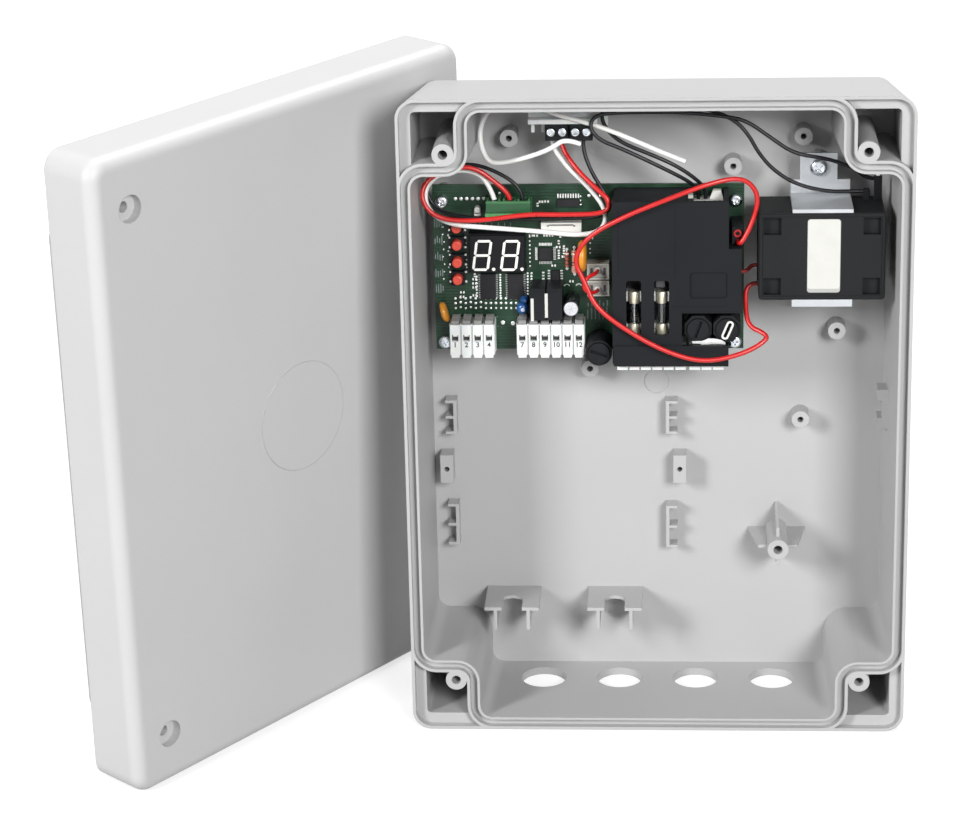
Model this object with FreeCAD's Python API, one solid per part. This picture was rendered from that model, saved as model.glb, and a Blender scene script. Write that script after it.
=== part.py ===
import FreeCAD, Part
import math
import os

# Gate control box, in millimetres.
# The box frame used while modelling: X to the right, Y from the open rim to the back wall,
# Z up along the rim, with the origin at the middle of the rim's lower outer edge.
# The base stands on its drafted bottom wall, so the finished base leans back by the draft angle.

# Enclosure base
BOX_W = 220.0
BOX_H = 290.0
BASE_DEPTH = 62.0
BACK_INSET = 5.0
BACK_WALL = 2.5
RIM_CORNER_R = 8.6
SIDE_ROOM = 11.2
TOP_ROOM = 12.1

# Seal channel round the rim, measured inwards from the outer edge
LIP_OUTER = 1.4
LIP_INNER = 1.2
GROOVE_W = 3.2
GROOVE_DEPTH = 3.5
INNER_DRAFT = 2.3
CHANNEL_BEND_R = 11.4
CHANNEL_NOTCH_R = 4.5
RIM_W = LIP_OUTER + GROOVE_W + LIP_INNER

# Corner pockets with their screw pillars
POCKET_X = 24.8
POCKET_Z = 27.7
LEDGE_W = 4.8
LEDGE_DEPTH = 4.0
POCKET_DEPTH = 50.0
POCKET_CORNER_R = 2.0
PILLAR_X = 20.0
PILLAR_Z = 24.0
PILLAR_R = 4.75
PILLAR_SIDES = 24
PILLAR_BORE_R = 2.1
PILLAR_BORE_DEPTH = 34.0
WALL_HOLE_R = 2.6
WALL_HOLE_X = 13.0
WALL_HOLE_Z = 14.0

# Cable entries in the bottom wall
ENTRY_R = 10.4
ENTRY_PITCH = 35.0
ENTRY_COUNT = 4
ENTRY_DEPTH = 42.5

# Bosses, ribs and cradles on the back wall
BOSS_R = 4.0
BOSS_HOLE_R = 1.4
BOSS_HEIGHT = 10.0
BOSS_PLACES = [(-64.6, 261.4), (34.0, 248.1), (64.6, 261.4), (80.4, 172.5), (64.7, 130.8),
               (-29.9, 155.0)]
BOSS_SIDES = 20
BOSS_HOLE_SIDES = 12
TALL_BOSS_AT = (54.6, 75.0)
TALL_BOSS_R = 4.8
TALL_BOSS_HOLE_R = 2.1
TALL_BOSS_HEIGHT = 28.5
TALL_RIB_T = 1.5
TALL_RIB_TIP = 8.8
TALL_RIB_FOOT = 13.2
TALL_RIB_DROP = 4.6
KEY_BOSS_PLACES = [(-95.8, 107.0), (10.4, 107.0)]
KEY_BOSS_W = 6.0
KEY_BOSS_L = 13.4
KEY_BOSS_HOLE_R = 1.2
COMB_T = 1.6
COMB_HEIGHT = 8.0
COMB_TOOTH = 3.6
COMB_TOOTH_T = 1.3
COMB_ROWS = [(-91.6, -1, 123.2, 139.4), (-91.6, -1, 69.4, 89.4), (4.9, 1, 123.2, 139.0),
             (4.9, 1, 68.2, 88.6)]
CRADLE_PLACES = [-66.4, -19.4]
CRADLE_W = 25.0
CRADLE_REACH = 27.0
CRADLE_T = 1.6
CRADLE_Z = 46.0
CRADLE_NOTCH_R = 4.6
CRADLE_NOTCH_REACH = 10.5
CRADLE_STEM_PITCH = 15.0
CRADLE_STEM_H = 11.0
WALL_CLIP_Y = (37.0, 47.0)
WALL_CLIP_Z = (130.5, 149.0)
WALL_CLIP_PROUD = 4.2
WALL_CLIP_SLOT = 8.0
GATE_MARK_AT = (-0.1, 145.9)
GATE_MARK_R = 5.6
GATE_MARK_DEPTH = 0.4

# Lid
LID_DEPTH = 28.0
LID_WALL = 2.6
LID_EDGE_R = 6.0
LID_SCREW_RECESS_R = 6.0
LID_SCREW_RECESS_DEPTH = 4.5
LID_SCREW_HOLE_R = 2.4
LID_SEAL_CLEARANCE = 0.5
LID_SEAL_H = 3.0
LID_DISC_R = 25.0
LID_DISC_PROUD = 0.5
LID_LEFT = 114.3
LID_GAP = 0.5
LID_TURN = 51.4

# Control board
BOARD_X = (-98.0, 38.6)
BOARD_Z = (168.2, 243.4)
BOARD_Y = 38.0
BOARD_T = 1.6
BOARD_SCREW_X = (-94.0, 34.8)
BOARD_SCREW_Z = (171.6, 236.0)
BOARD_SCREW_HEAD_R = 3.0
BOARD_SCREW_HEAD_H = 2.0
BOARD_SCREW_R = 1.5
BOARD_SCREW_L = 10.0
STANDOFF_R = 3.6
STANDOFF_HOLE_R = 1.25
SEAT_GAP = 0.02

# Pieces on the control board
SWITCH_X = -87.4
SWITCH_Z = 201.85
SWITCH_PITCH = 7.85
SWITCH_COUNT = 4
SWITCH_BODY = 6.0
SWITCH_BODY_H = 3.6
BUTTON_R = 2.2
BUTTON_PLAY = 0.2
BUTTON_PROUD = 3.6
BUTTON_TRAVEL = 0.3
BUTTON_SEAT = 0.35
DISPLAY_X = (-82.1, -57.0)
DISPLAY_Z = (205.4, 223.0)
DISPLAY_H = 8.0
DISPLAY_STEP = 1.2

# Spring terminals: a white housing with one lying lever over each pole
POLE_PITCH = 5.0
TERMINAL_Z = (168.0, 183.1)
TERMINAL_H = 13.0
TERMINAL_STARTS = {"input_terminals": -91.1, "output_terminals": -61.4}
TERMINAL_COUNTS = {"input_terminals": 4, "output_terminals": 6}
TERMINAL_FIRST_NUMBERS = {"input_terminals": 1, "output_terminals": 7}
WIRE_HOLE = 2.9
WIRE_HOLE_Z = 177.0
WIRE_HOLE_DEPTH = 8.0
POLE_GAP = 0.7
POLE_GAP_DEPTH = 1.1
LEVER_W = 3.6
LEVER_T = 2.2
LEVER_PROUD = 1.6
LEVER_FRONT = 1.6
LEVER_REAR = 0.8
LEVER_PLAY = 0.35
LEVER_SWING = 8.0
LEVER_PIVOT = 3.0

# Power side: cover, hidden terminals, fuses
COVER_X = (-18.8, 37.2)
COVER_Z = (167.9, 241.9)
COVER_FRONT = 12.0
COVER_WALL = 1.8
COVER_CORNER_R = 2.0
COVER_BAND_Z = 177.4
COVER_BAND_X = 31.6
COVER_BAND_PROUD = 0.8
COVER_NOTCH_X = 31.6
COVER_NOTCH_Z = 220.8
COVER_MOUTH_X = (16.4, 29.6)
COVER_PANEL_X = (14.8, 30.9)
COVER_PANEL_Z = (198.8, 210.3)
COVER_PANEL_DEPTH = 0.8
POWER_POLE_STARTS = [-16.9, 14.6]
POWER_POLE_COUNTS = [6, 3]
POWER_TERMINAL_Z = (165.4, 174.4)
POWER_TERMINAL_FRONT = 15.0
FUSE_X = (-9.5, 2.6)
FUSE_ROOM = 6.2
FUSE_L = 20.0
FUSE_R = 2.6
FUSE_GLASS_R = 2.35
FUSE_CAP_L = 5.4
FUSE_Y = 18.4
FUSE_WINDOW_W = 6.4
FUSE_WINDOW_LOW = 1.5
FUSE_WINDOW_H = 24.6
CLIP_W = 7.0
CLIP_L = 4.4
CAP_WINDOW_X = 11.4
CAP_WINDOW_Z = (177.4, 192.0)
CAP_R = 4.75
CAP_PLAY = 0.12
CAP_SLOT = 1.3
CAP_SLOT_DEPTH = 1.4
CAP_SLOT_END = 0.8
COVER_CAP_SLOT_TURN = 20.0
BOARD_CAP_SLOT_TURN = 108.0
CAP_STEM = 10.0
CAP_SIDES = 24
COVER_CAP_PLACES = [(18.4, 184.2), (30.9, 184.2)]
COVER_CAP_FRONT = 13.4
COVER_CAP_SOCKET_R = 6.38
BOARD_CAP_AT = (-25.0, 171.6)
BOARD_CAP_FRONT = 19.0
BOARD_CAP_SOCKET_R = 5.8
LINK_BAR_X = (15.0, 29.4)
LINK_BAR_Z = (175.2, 178.2)
LINK_BAR_FRONT = 20.0
LINK_BAR_T = 1.0
TAB_BLOCK_X = (33.0, 37.8)
TAB_BLOCK_Z = (221.2, 228.6)
TAB_BLOCK_FRONT = 19.0
MAINS_PLUG_X = (16.6, 29.4)
MAINS_PLUG_Z = (230.0, 238.0)
MAINS_PLUG_H = 8.0
MAINS_LATCH_X = (23.4, 29.4)
MAINS_LATCH_Z = 241.6

# Small parts: X range, Z range, height above the board
RELAYS = [(-55.2, -48.4, 185.8, 200.2), (-47.8, -41.0, 185.8, 200.2)]
RELAY_H = 15.0
CHIPS = [(-43.2, -32.8, 232.8, 239.6), (-77.9, -70.7, 192.3, 202.1), (-66.0, -58.0, 192.3, 202.1),
         (-52.4, -44.8, 207.8, 215.3), (-48.0, -40.2, 201.0, 204.8)]
CHIP_H = 1.7
FILTER_CAP_AT = (-37.1, 191.2)
FILTER_CAP_R = 3.5
FILTER_CAP_H = 16.0
DROP_CAP_AT = (-58.6, 188.0)
DROP_CAP_R = 2.6
DROP_CAP_H = 6.5
DISCS = [(-34.2, 212.2, 7.0, 3.6), (-95.2, 186.2, 4.4, 3.4)]
DISC_LIFT = 0.4
RESISTOR_X = -37.6
RESISTOR_Z = (203.6, 213.8)
RESISTOR_R = 1.3
DIODE_X = -41.2
DIODE_Z = (206.2, 213.0)
DIODE_R = 0.9
PLUG_X = (-74.2, -53.9)
PLUG_Z = (231.9, 238.9)
PLUG_HEADER_H = 5.0
PLUG_FRONT = 26.0
HEADERS = [(-50.2, -32.5, 222.8, 227.6, 6.0), (-79.8, -76.6, 230.6, 233.8, 4.0)]
ACCESSORY_PLUGS = [(-30.2, -20.4, 202.2, 209.4), (-30.2, -20.4, 194.6, 201.6)]
ACCESSORY_PLUG_H = 8.0

# Transformer
TRAFO_X = (44.4, 98.8)
TRAFO_Z = (197.5, 236.1)
TRAFO_Y = (14.0, 43.38)
TRAFO_CORNER_R = 1.6
TRAFO_POCKET = 7.4
TRAFO_POCKET_EDGE = 2.2
TRAFO_POCKET_DEPTH = 3.0
STRAP_X = (58.8, 84.8)
STRAP_T = 1.6
STRAP_LIP = 3.2
STRAP_BACK = 45.0
FOOT_X = (62.9, 79.2)
FOOT_TOP_Z = 255.4
FOOT_SHOULDER = 7.5
FOOT_LOW_Z = 185.5
FOOT_SCREW_X = 71.0
FOOT_SCREW_Z = (190.2, 249.2)
FOOT_SCREW_HEAD_R = 3.9
FOOT_SCREW_HEAD_H = 2.4
FOOT_SCREW_L = 9.0
FOOT_STANDOFF_R = 4.5
TRAFO_PIN_X = (91.5, 96.4)
TRAFO_PIN_TOP = (240.8, 247.4)
TRAFO_PIN_Y = 38.0
TRAFO_PIN = 1.6

# Terminal strip at the top
STRIP_X = (-47.7, -27.1)
STRIP_Z = (264.8, 272.1)
STRIP_Y = (30.0, 44.0)
STRIP_SCREW_X = [-45.2, -40.2, -34.6, -29.7]
STRIP_SCREW_Z = 268.7
STRIP_SCREW_R = 1.9
STRIP_WELL_R = 2.2
STRIP_SCREW_SINK = 1.2
BRACKET_X = (-55.1, -25.0)
BRACKET_Z = (272.2, 277.9)
BRACKET_FRONT = 36.0
BRACKET_LIP = 12.0
BRACKET_TAB_DROP = 5.0
BRACKET_TAB_X = [-54.0, -49.6]

# Wires, as corner points of their routes in the box frame
SIGNAL_WIRE = 2.1
MAINS_WIRE = 1.7
WIRE_SIDES = 4
WIRE_BEND_STEP = 20.0
WIRES = {
    "white_wire_spare": (SIGNAL_WIRE, [
        (-55.12, 43.0, 275.4), (-60.4, 43.0, 275.4), (-67.6, 41.5, 278.0), (-73.6, 37.2, 275.2),
        (-76.0, 31.6, 267.6), (-73.6, 27.2, 259.0), (-66.0, 24.2, 254.8), (-54.0, 22.6, 259.8),
        (-42.0, 22.4, 265.8), (-32.4, 23.2, 265.0)]),
    "white_wire_link": (SIGNAL_WIRE, [
        (-55.12, 52.0, 274.6), (-59.6, 52.0, 274.6), (-63.6, 47.0, 279.2), (-58.6, 39.6, 280.6),
        (-50.0, 34.2, 280.4), (-41.0, 31.4, 278.4), (-26.5, 28.8, 273.4), (-13.0, 26.8, 268.2),
        (1.0, 25.6, 261.6), (12.6, 26.2, 256.5)]),
    "red_wire_signal": (SIGNAL_WIRE, [
        (-41.0, 36.0, 264.78), (-41.0, 36.0, 260.6), (-35.2, 30.4, 253.6), (-26.2, 25.4, 246.6),
        (-20.8, 22.8, 239.8), (-27.0, 22.0, 234.2), (-42.0, 22.4, 234.0), (-62.0, 22.8, 235.0),
        (-82.0, 25.0, 232.6), (-95.2, 28.0, 235.4), (-100.4, 29.8, 244.2), (-94.8, 30.4, 252.2),
        (-80.0, 28.2, 252.8), (-68.4, 26.8, 250.0), (-64.0, 29.5, 244.2), (-64.0, 29.5, 238.92)]),
    "white_wire_signal": (SIGNAL_WIRE, [
        (-45.0, 38.0, 264.78), (-45.0, 38.0, 260.4), (-39.2, 34.4, 252.2), (-30.4, 31.0, 243.8),
        (-24.4, 28.2, 235.4), (-28.0, 24.8, 227.0), (-44.0, 22.6, 226.0), (-64.0, 21.8, 227.6),
        (-84.0, 22.6, 229.2), (-97.0, 24.4, 232.8), (-101.2, 26.2, 242.6), (-94.8, 26.2, 250.2),
        (-82.0, 24.2, 250.6), (-73.0, 25.4, 248.6), (-69.4, 29.5, 243.8), (-69.4, 29.5, 238.92)]),
    "black_wire_signal": (MAINS_WIRE, [
        (-31.0, 38.0, 264.78), (-31.0, 38.0, 260.6), (-26.8, 36.4, 251.8), (-22.4, 33.0, 243.6),
        (-22.2, 31.2, 235.0), (-29.0, 29.4, 229.8), (-44.0, 27.8, 229.4), (-64.0, 27.4, 229.6),
        (-83.0, 30.6, 230.4), (-96.4, 33.0, 233.2), (-101.4, 34.6, 243.2), (-95.2, 34.6, 252.0),
        (-80.0, 32.4, 252.8), (-65.4, 29.0, 250.2), (-58.0, 29.5, 244.4), (-58.0, 29.5, 238.92)]),
    "black_wire_mains_a": (MAINS_WIRE, [
        (18.6, 32.6, 238.02), (18.6, 32.6, 242.0), (14.2, 28.6, 247.4), (5.5, 25.4, 253.4),
        (-5.0, 24.2, 259.0), (-14.5, 24.2, 263.2), (-22.5, 24.6, 266.6), (-26.8, 25.0, 271.2),
        (-25.2, 25.8, 276.2), (-18.0, 27.2, 279.0), (-6.5, 28.6, 279.9), (12.0, 29.4, 279.4),
        (30.0, 28.2, 276.8), (46.0, 28.6, 270.0), (62.0, 30.2, 260.4), (78.0, 33.0, 253.2),
        (90.0, 38.0, 245.2), (95.58, 38.0, 245.2)]),
    "black_wire_mains_b": (MAINS_WIRE, [
        (21.8, 32.6, 238.02), (21.8, 32.6, 242.4), (17.8, 29.8, 247.8), (10.0, 27.8, 254.4),
        (-1.5, 27.2, 260.6), (-12.5, 28.8, 264.6), (-19.6, 31.4, 268.6), (-22.2, 33.8, 274.2),
        (-19.4, 35.8, 279.0), (-12.0, 36.6, 281.0), (0.5, 35.4, 280.6), (14.0, 33.2, 278.4),
        (27.0, 31.8, 273.8), (39.0, 31.0, 265.2), (50.0, 31.2, 255.2), (62.0, 32.2, 246.4),
        (76.0, 34.6, 241.2), (86.0, 38.0, 239.6), (90.68, 38.0, 239.6)]),
    "red_wire_loop": (SIGNAL_WIRE, [
        (44.38, 26.0, 201.5), (39.2, 26.0, 201.5), (39.0, 19.6, 194.0), (41.4, 13.6, 184.6),
        (36.6, 7.8, 175.6), (21.0, 5.6, 173.2), (4.0, 5.9, 176.6), (-13.0, 7.4, 185.8),
        (-27.4, 10.8, 198.4), (-34.6, 13.2, 213.4), (-28.6, 11.6, 228.6), (-11.5, 9.0, 239.8),
        (8.0, 8.4, 247.6), (26.4, 11.0, 251.2), (39.0, 15.4, 247.6), (41.8, 17.0, 237.8),
        (39.4, 15.4, 230.0), (35.4, 13.2, 222.6), (35.4, 18.98, 222.6)]),
    "red_wire_short": (MAINS_WIRE, [
        (37.22, 32.0, 205.2), (39.8, 32.0, 205.2), (41.8, 33.0, 208.0), (44.38, 33.0, 208.0)]),
    "red_wire_link": (MAINS_WIRE, [
        (-25.6, 29.98, 206.4), (-25.6, 26.4, 206.4), (-30.0, 22.4, 205.4), (-31.6, 21.2, 201.8),
        (-30.0, 22.4, 198.6), (-25.6, 26.4, 197.6), (-25.6, 29.98, 197.6)]),
}

BOARD_BACK = BOARD_Y + BOARD_T
FUSE_Z = (POWER_TERMINAL_Z[1] + FUSE_ROOM, POWER_TERMINAL_Z[1] + FUSE_ROOM + FUSE_L)


def place(x, y, z):
    """A point of the inner layout, which keeps its room to the base's sides and top."""
    across = (BOX_W / 2 - SIDE_ROOM) / TRAFO_X[1]
    along = (BOX_H - TOP_ROOM) / BRACKET_Z[1]
    return FreeCAD.Vector(x * across, y, z * along)


def box(x0, x1, y0, y1, z0, z1):
    """A block between two corners of the inner layout."""
    low, high = place(x0, y0, z0), place(x1, y1, z1)
    return Part.makeBox(high.x - low.x, high.y - low.y, high.z - low.z, low)


def block(x0, x1, y0, y1, z0, z1):
    """A block between two corners measured from the base's own walls."""
    return Part.makeBox(x1 - x0, y1 - y0, z1 - z0, FreeCAD.Vector(x0, y0, z0))


def rod(x, z, radius, y0, y1):
    """A round rod along Y."""
    return Part.makeCylinder(radius, y1 - y0, FreeCAD.Vector(x, y0, z), FreeCAD.Vector(0, 1, 0))


def fuse_all(shapes):
    """One solid from touching shapes."""
    first, rest = shapes[0], shapes[1:]
    return first.fuse(rest).removeSplitter() if rest else first


def rounded_wire(corners, radii, y):
    """A closed outline in the plane of depth y, with each corner rounded by its own radius."""
    points = [FreeCAD.Vector(x, y, z) for x, z in corners]
    count = len(points)
    trims = []
    for i, point in enumerate(points):
        back = (points[i - 1] - point).normalize()
        ahead = (points[(i + 1) % count] - point).normalize()
        half = back.getAngle(ahead) / 2
        reach = radii[i] / math.tan(half)
        middle = (back + ahead).normalize() * (radii[i] / math.sin(half))
        centre = point + middle
        inner = centre - middle * (radii[i] / middle.Length)
        trims.append((point + back * reach, inner, point + ahead * reach))
    edges = []
    for i, (start, inner, end) in enumerate(trims):
        edges.append(Part.Arc(start, inner, end).toShape())
        edges.append(Part.LineSegment(end, trims[(i + 1) % count][0]).toShape())
    return Part.Wire(edges)


def tapered(front, back):
    """A drafted solid between two outlines of equal corner radii, front to back."""
    faces = [Part.Face(front), Part.Face(back)]
    for near, far in zip(front.Edges, back.Edges):
        start, end = near.firstVertex(True).Point, near.lastVertex(True).Point
        far_start, far_end = far.firstVertex(True).Point, far.lastVertex(True).Point
        if isinstance(near.Curve, Part.Line):
            faces.append(Part.Face(Part.makePolygon([start, end, far_end, far_start, start])))
        else:
            faces.append(near.extrude(far_start - start))
    shell = Part.makeShell(faces)
    shell.sewShape()
    solid = Part.makeSolid(shell)
    solid.fix(1e-5, 1e-5, 1e-5)
    return solid


def rectangle_wire(x0, x1, z0, z1, radius, y):
    return rounded_wire([(x0, z0), (x1, z0), (x1, z1), (x0, z1)], [radius] * 4, y)


def slab(wire, depth):
    """A straight extrusion of an outline along Y."""
    return Part.Face(wire).extrude(FreeCAD.Vector(0, depth, 0))


def rounded_slab(x0, x1, z0, z1, radius, y0, y1):
    """A rounded plate of the inner layout."""
    low, high = place(x0, y0, z0), place(x1, y1, z1)
    return slab(rectangle_wire(low.x, high.x, low.z, high.z, radius, y0), y1 - y0)


def channel_wire(inset, y, bend_inset=None):
    """The rim's course round the four corner pockets, moved inwards by inset."""
    side = BOX_W / 2 - inset
    top = BOX_H - inset
    notch_x = BOX_W / 2 - POCKET_X - inset
    notch_top = BOX_H - POCKET_Z - inset
    notch_low = POCKET_Z + inset
    corners = [(-notch_x, inset), (notch_x, inset), (notch_x, notch_low), (side, notch_low),
               (side, notch_top), (notch_x, notch_top), (notch_x, top), (-notch_x, top),
               (-notch_x, notch_top), (-side, notch_top), (-side, notch_low), (-notch_x, notch_low)]
    radius_inset = inset if bend_inset is None else bend_inset
    bend = CHANNEL_BEND_R - radius_inset
    notch = CHANNEL_NOTCH_R + radius_inset
    radii = [bend, bend, notch, bend, bend, notch, bend, bend, notch, bend, bend, notch]
    return rounded_wire(corners, radii, y)


def rim_rectangle(inset, radius, y):
    return rectangle_wire(-BOX_W / 2 + inset, BOX_W / 2 - inset, inset, BOX_H - inset, radius, y)


def mirrored_places(x_from_side, z_from_end):
    """The four places at the same distance from the sides and from the top and bottom."""
    x = BOX_W / 2 - x_from_side
    return [(sx * x, z) for sx in (-1, 1) for z in (z_from_end, BOX_H - z_from_end)]


def pocket_places():
    return mirrored_places(PILLAR_X, PILLAR_Z)


def wall_inset(y):
    """How far the outer wall has drawn in at depth y."""
    return BACK_INSET * y / BASE_DEPTH


def cavity_inset(y):
    """How far the inner wall has drawn in at depth y."""
    return RIM_W + INNER_DRAFT * y / (BASE_DEPTH - BACK_WALL)


BACK_Y = BASE_DEPTH - BACK_WALL


def boss(x, z, radius, hole_r, height):
    """A round screw boss on the back wall."""
    body = small_round(x, z, radius, BACK_Y - height, BACK_Y + BACK_WALL / 2, BOSS_SIDES)
    return body.cut(small_round(x, z, hole_r, BACK_Y - height - 1, BACK_Y - 1, BOSS_HOLE_SIDES))


def standoff(x, z, radius, front):
    """A hidden post that a screwed piece rests on."""
    post = small_round(x, z, radius, front, BACK_Y + 1, 12)
    return post.cut(small_round(x, z, STANDOFF_HOLE_R, front - 1, BACK_Y - 1, 12))


def tall_boss():
    x, z = TALL_BOSS_AT
    front = BACK_Y - TALL_BOSS_HEIGHT
    ribs = []
    for turn in range(4):
        profile = Part.makePolygon([
            FreeCAD.Vector(0, front + TALL_RIB_DROP, 0),
            FreeCAD.Vector(TALL_RIB_TIP, front + TALL_RIB_DROP, 0),
            FreeCAD.Vector(TALL_RIB_FOOT, BACK_Y + 1, 0),
            FreeCAD.Vector(0, BACK_Y + 1, 0),
            FreeCAD.Vector(0, front + TALL_RIB_DROP, 0)])
        rib = Part.Face(profile).extrude(FreeCAD.Vector(0, 0, TALL_RIB_T))
        rib.translate(FreeCAD.Vector(0, 0, -TALL_RIB_T / 2))
        rib.rotate(FreeCAD.Vector(0, 0, 0), FreeCAD.Vector(0, 1, 0), 90 * turn)
        rib.translate(place(x, 0, z))
        ribs.append(rib)
    body = fuse_all([small_round(x, z, TALL_BOSS_R, front, BACK_Y + 1, BOSS_SIDES)] + ribs)
    return body.cut(small_round(x, z, TALL_BOSS_HOLE_R, front - 1, BACK_Y - 1, BOSS_HOLE_SIDES))


def key_boss(x, z):
    """An oblong boss with a screw hole."""
    front = BACK_Y - BOSS_HEIGHT
    half_w, half_l = KEY_BOSS_W / 2, KEY_BOSS_L / 2
    body = box(x - half_w, x + half_w, front, BACK_Y + 1, z - half_l, z + half_l)
    return body.cut(small_round(x, z, KEY_BOSS_HOLE_R, front - 1, BACK_Y - 1, BOSS_HOLE_SIDES))


def comb(x, side, z0, z1):
    """A toothed rib that holds the edge of a small add-on card."""
    front = BACK_Y - COMB_HEIGHT
    pieces = [box(x - COMB_T / 2, x + COMB_T / 2, front, BACK_Y + 1, z0, z1)]
    reach = sorted([x, x + side * (COMB_T / 2 + COMB_TOOTH)])
    for i in range(3):
        z = z0 + (z1 - z0 - COMB_TOOTH_T) * i / 2
        pieces.append(box(reach[0], reach[1], front, BACK_Y + 1, z, z + COMB_TOOTH_T))
    return fuse_all(pieces)


def cradle(x):
    """A cable cradle: a notched shelf on two stems."""
    front = BACK_Y - CRADLE_REACH
    half = CRADLE_W / 2
    shelf = box(x - half, x + half, front, BACK_Y + 1, CRADLE_Z - CRADLE_T, CRADLE_Z)
    notch_y = front + CRADLE_NOTCH_REACH
    notch = box(x - CRADLE_NOTCH_R, x + CRADLE_NOTCH_R, front - 1, notch_y,
                CRADLE_Z - 2 * CRADLE_T, CRADLE_Z + 1)
    round_end = upright(x, notch_y, CRADLE_NOTCH_R, CRADLE_Z - 2 * CRADLE_T, CRADLE_Z + CRADLE_T, 20)
    pieces = [shelf.cut(notch.fuse(round_end))]
    for side in (-1, 1):
        stem_x = x + side * CRADLE_STEM_PITCH / 2
        pieces.append(box(stem_x - CRADLE_T / 2, stem_x + CRADLE_T / 2, front, BACK_Y + 1,
                          CRADLE_Z - CRADLE_STEM_H, CRADLE_Z - CRADLE_T / 2))
    return fuse_all(pieces)


def wall_clip():
    """The small open clip on the right-hand wall."""
    y0, y1 = WALL_CLIP_Y
    z0, z1 = WALL_CLIP_Z
    inner = BOX_W / 2 - cavity_inset(y1)
    body = block(inner - WALL_CLIP_PROUD, inner + 2, y0, y1, z0, z1)
    middle = (z0 + z1) / 2
    slot = block(inner - WALL_CLIP_PROUD - 1, inner - WALL_CLIP_PROUD / 2, y0 - 1, y1 + 1,
                 middle - WALL_CLIP_SLOT / 2, middle + WALL_CLIP_SLOT / 2)
    return body.cut(slot)


def entry_axis():
    """Square to the outer face of the bottom wall."""
    lean = math.atan2(BACK_INSET, BASE_DEPTH)
    return FreeCAD.Vector(0, -math.sin(lean), math.cos(lean))


def entry_places():
    first = -ENTRY_PITCH * (ENTRY_COUNT - 1) / 2
    return [first + ENTRY_PITCH * i for i in range(ENTRY_COUNT)]


def enclosure_base():
    front = rim_rectangle(0, RIM_CORNER_R, 0)
    back = rim_rectangle(BACK_INSET, RIM_CORNER_R, BASE_DEPTH)
    shell = tapered(front, back)
    mouth = channel_wire(RIM_W, 0)
    floor = channel_wire(RIM_W + INNER_DRAFT, BACK_Y, RIM_W)
    shell = shell.cut(tapered(mouth, floor))
    groove = slab(channel_wire(LIP_OUTER, -1), GROOVE_DEPTH + 1)
    groove = groove.cut(slab(channel_wire(LIP_OUTER + GROOVE_W, -2), GROOVE_DEPTH + 3))
    keep = slab(channel_wire(0, -2), BASE_DEPTH + 4)
    upper = slab(rim_rectangle(LIP_OUTER, RIM_CORNER_R - LIP_OUTER, -1), LEDGE_DEPTH + 1)
    lower = slab(rim_rectangle(LIP_OUTER + LEDGE_W, POCKET_CORNER_R, -1), POCKET_DEPTH + 1)
    pockets = upper.fuse(lower).cut(keep)
    shell = shell.cut([groove, pockets])
    pillars = [post(x, z, PILLAR_R, 0, POCKET_DEPTH + 1, PILLAR_SIDES) for x, z in pocket_places()]
    pieces = [shell] + pillars
    pieces += [boss(x, z, BOSS_R, BOSS_HOLE_R, BOSS_HEIGHT) for x, z in BOSS_PLACES]
    pieces += [key_boss(x, z) for x, z in KEY_BOSS_PLACES]
    pieces += [comb(*row) for row in COMB_ROWS]
    pieces += [cradle(x) for x in CRADLE_PLACES]
    pieces += [standoff(x, z, STANDOFF_R, BOARD_BACK + SEAT_GAP) for x, z in board_screw_places()]
    pieces += [standoff(FOOT_SCREW_X, z, FOOT_STANDOFF_R, STRAP_BACK + SEAT_GAP) for z in FOOT_SCREW_Z]
    pieces += [tall_boss(), wall_clip()]
    body = fuse_all(pieces)
    cuts = [post(x, z, PILLAR_BORE_R, -1, PILLAR_BORE_DEPTH, BOSS_HOLE_SIDES)
            for x, z in pocket_places()]
    cuts += [rod(x, z, WALL_HOLE_R, POCKET_DEPTH - 1, BASE_DEPTH + 1)
             for x, z in mirrored_places(WALL_HOLE_X, WALL_HOLE_Z)]
    axis = entry_axis()
    for x in entry_places():
        start = FreeCAD.Vector(x, ENTRY_DEPTH, wall_inset(ENTRY_DEPTH)) - axis * RIM_W
        cuts.append(Part.makeCylinder(ENTRY_R, 3 * RIM_W, start, axis))
    cuts.append(rod(GATE_MARK_AT[0], GATE_MARK_AT[1], GATE_MARK_R, BACK_Y - 1, BACK_Y + GATE_MARK_DEPTH))
    return body.cut(cuts).removeSplitter()


def ring_points(x, z, radius, sides):
    """The corners of a many-sided outline, round enough at the size of a small part."""
    angles = [2 * math.pi * (i + 0.5) / sides for i in range(sides)]
    return [(x + radius * math.cos(angle), z + radius * math.sin(angle)) for angle in angles]


def prism(ring, depth):
    """A straight extrusion of an outline's points along Y."""
    return Part.Face(Part.makePolygon(ring + [ring[0]])).extrude(FreeCAD.Vector(0, depth, 0))


def small_round(x, z, radius, y0, y1, sides=16):
    """A many-sided post along Y in the inner layout."""
    return prism([place(px, y0, pz) for px, pz in ring_points(x, z, radius, sides)], y1 - y0)


def post(x, z, radius, y0, y1, sides):
    """A many-sided post along Y, measured from the base's or the lid's own walls."""
    return prism([FreeCAD.Vector(px, y0, pz) for px, pz in ring_points(x, z, radius, sides)], y1 - y0)


def on_board(x0, x1, z0, z1, height):
    """A block standing on the front of the board."""
    return box(x0, x1, BOARD_Y - height, BOARD_Y, z0, z1)


def group(shapes):
    """Separate solids that share one file."""
    return Part.makeCompound([solid for shape in shapes for solid in shape.Solids])


def board_screw_places():
    return [(x, z) for x in BOARD_SCREW_X for z in BOARD_SCREW_Z]


def control_board():
    board = box(BOARD_X[0], BOARD_X[1], BOARD_Y, BOARD_BACK, BOARD_Z[0], BOARD_Z[1])
    holes = [small_round(x, z, BOARD_SCREW_R, BOARD_Y - 1, BOARD_BACK + 1, 12)
             for x, z in board_screw_places()]
    return board.cut(holes)


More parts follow.
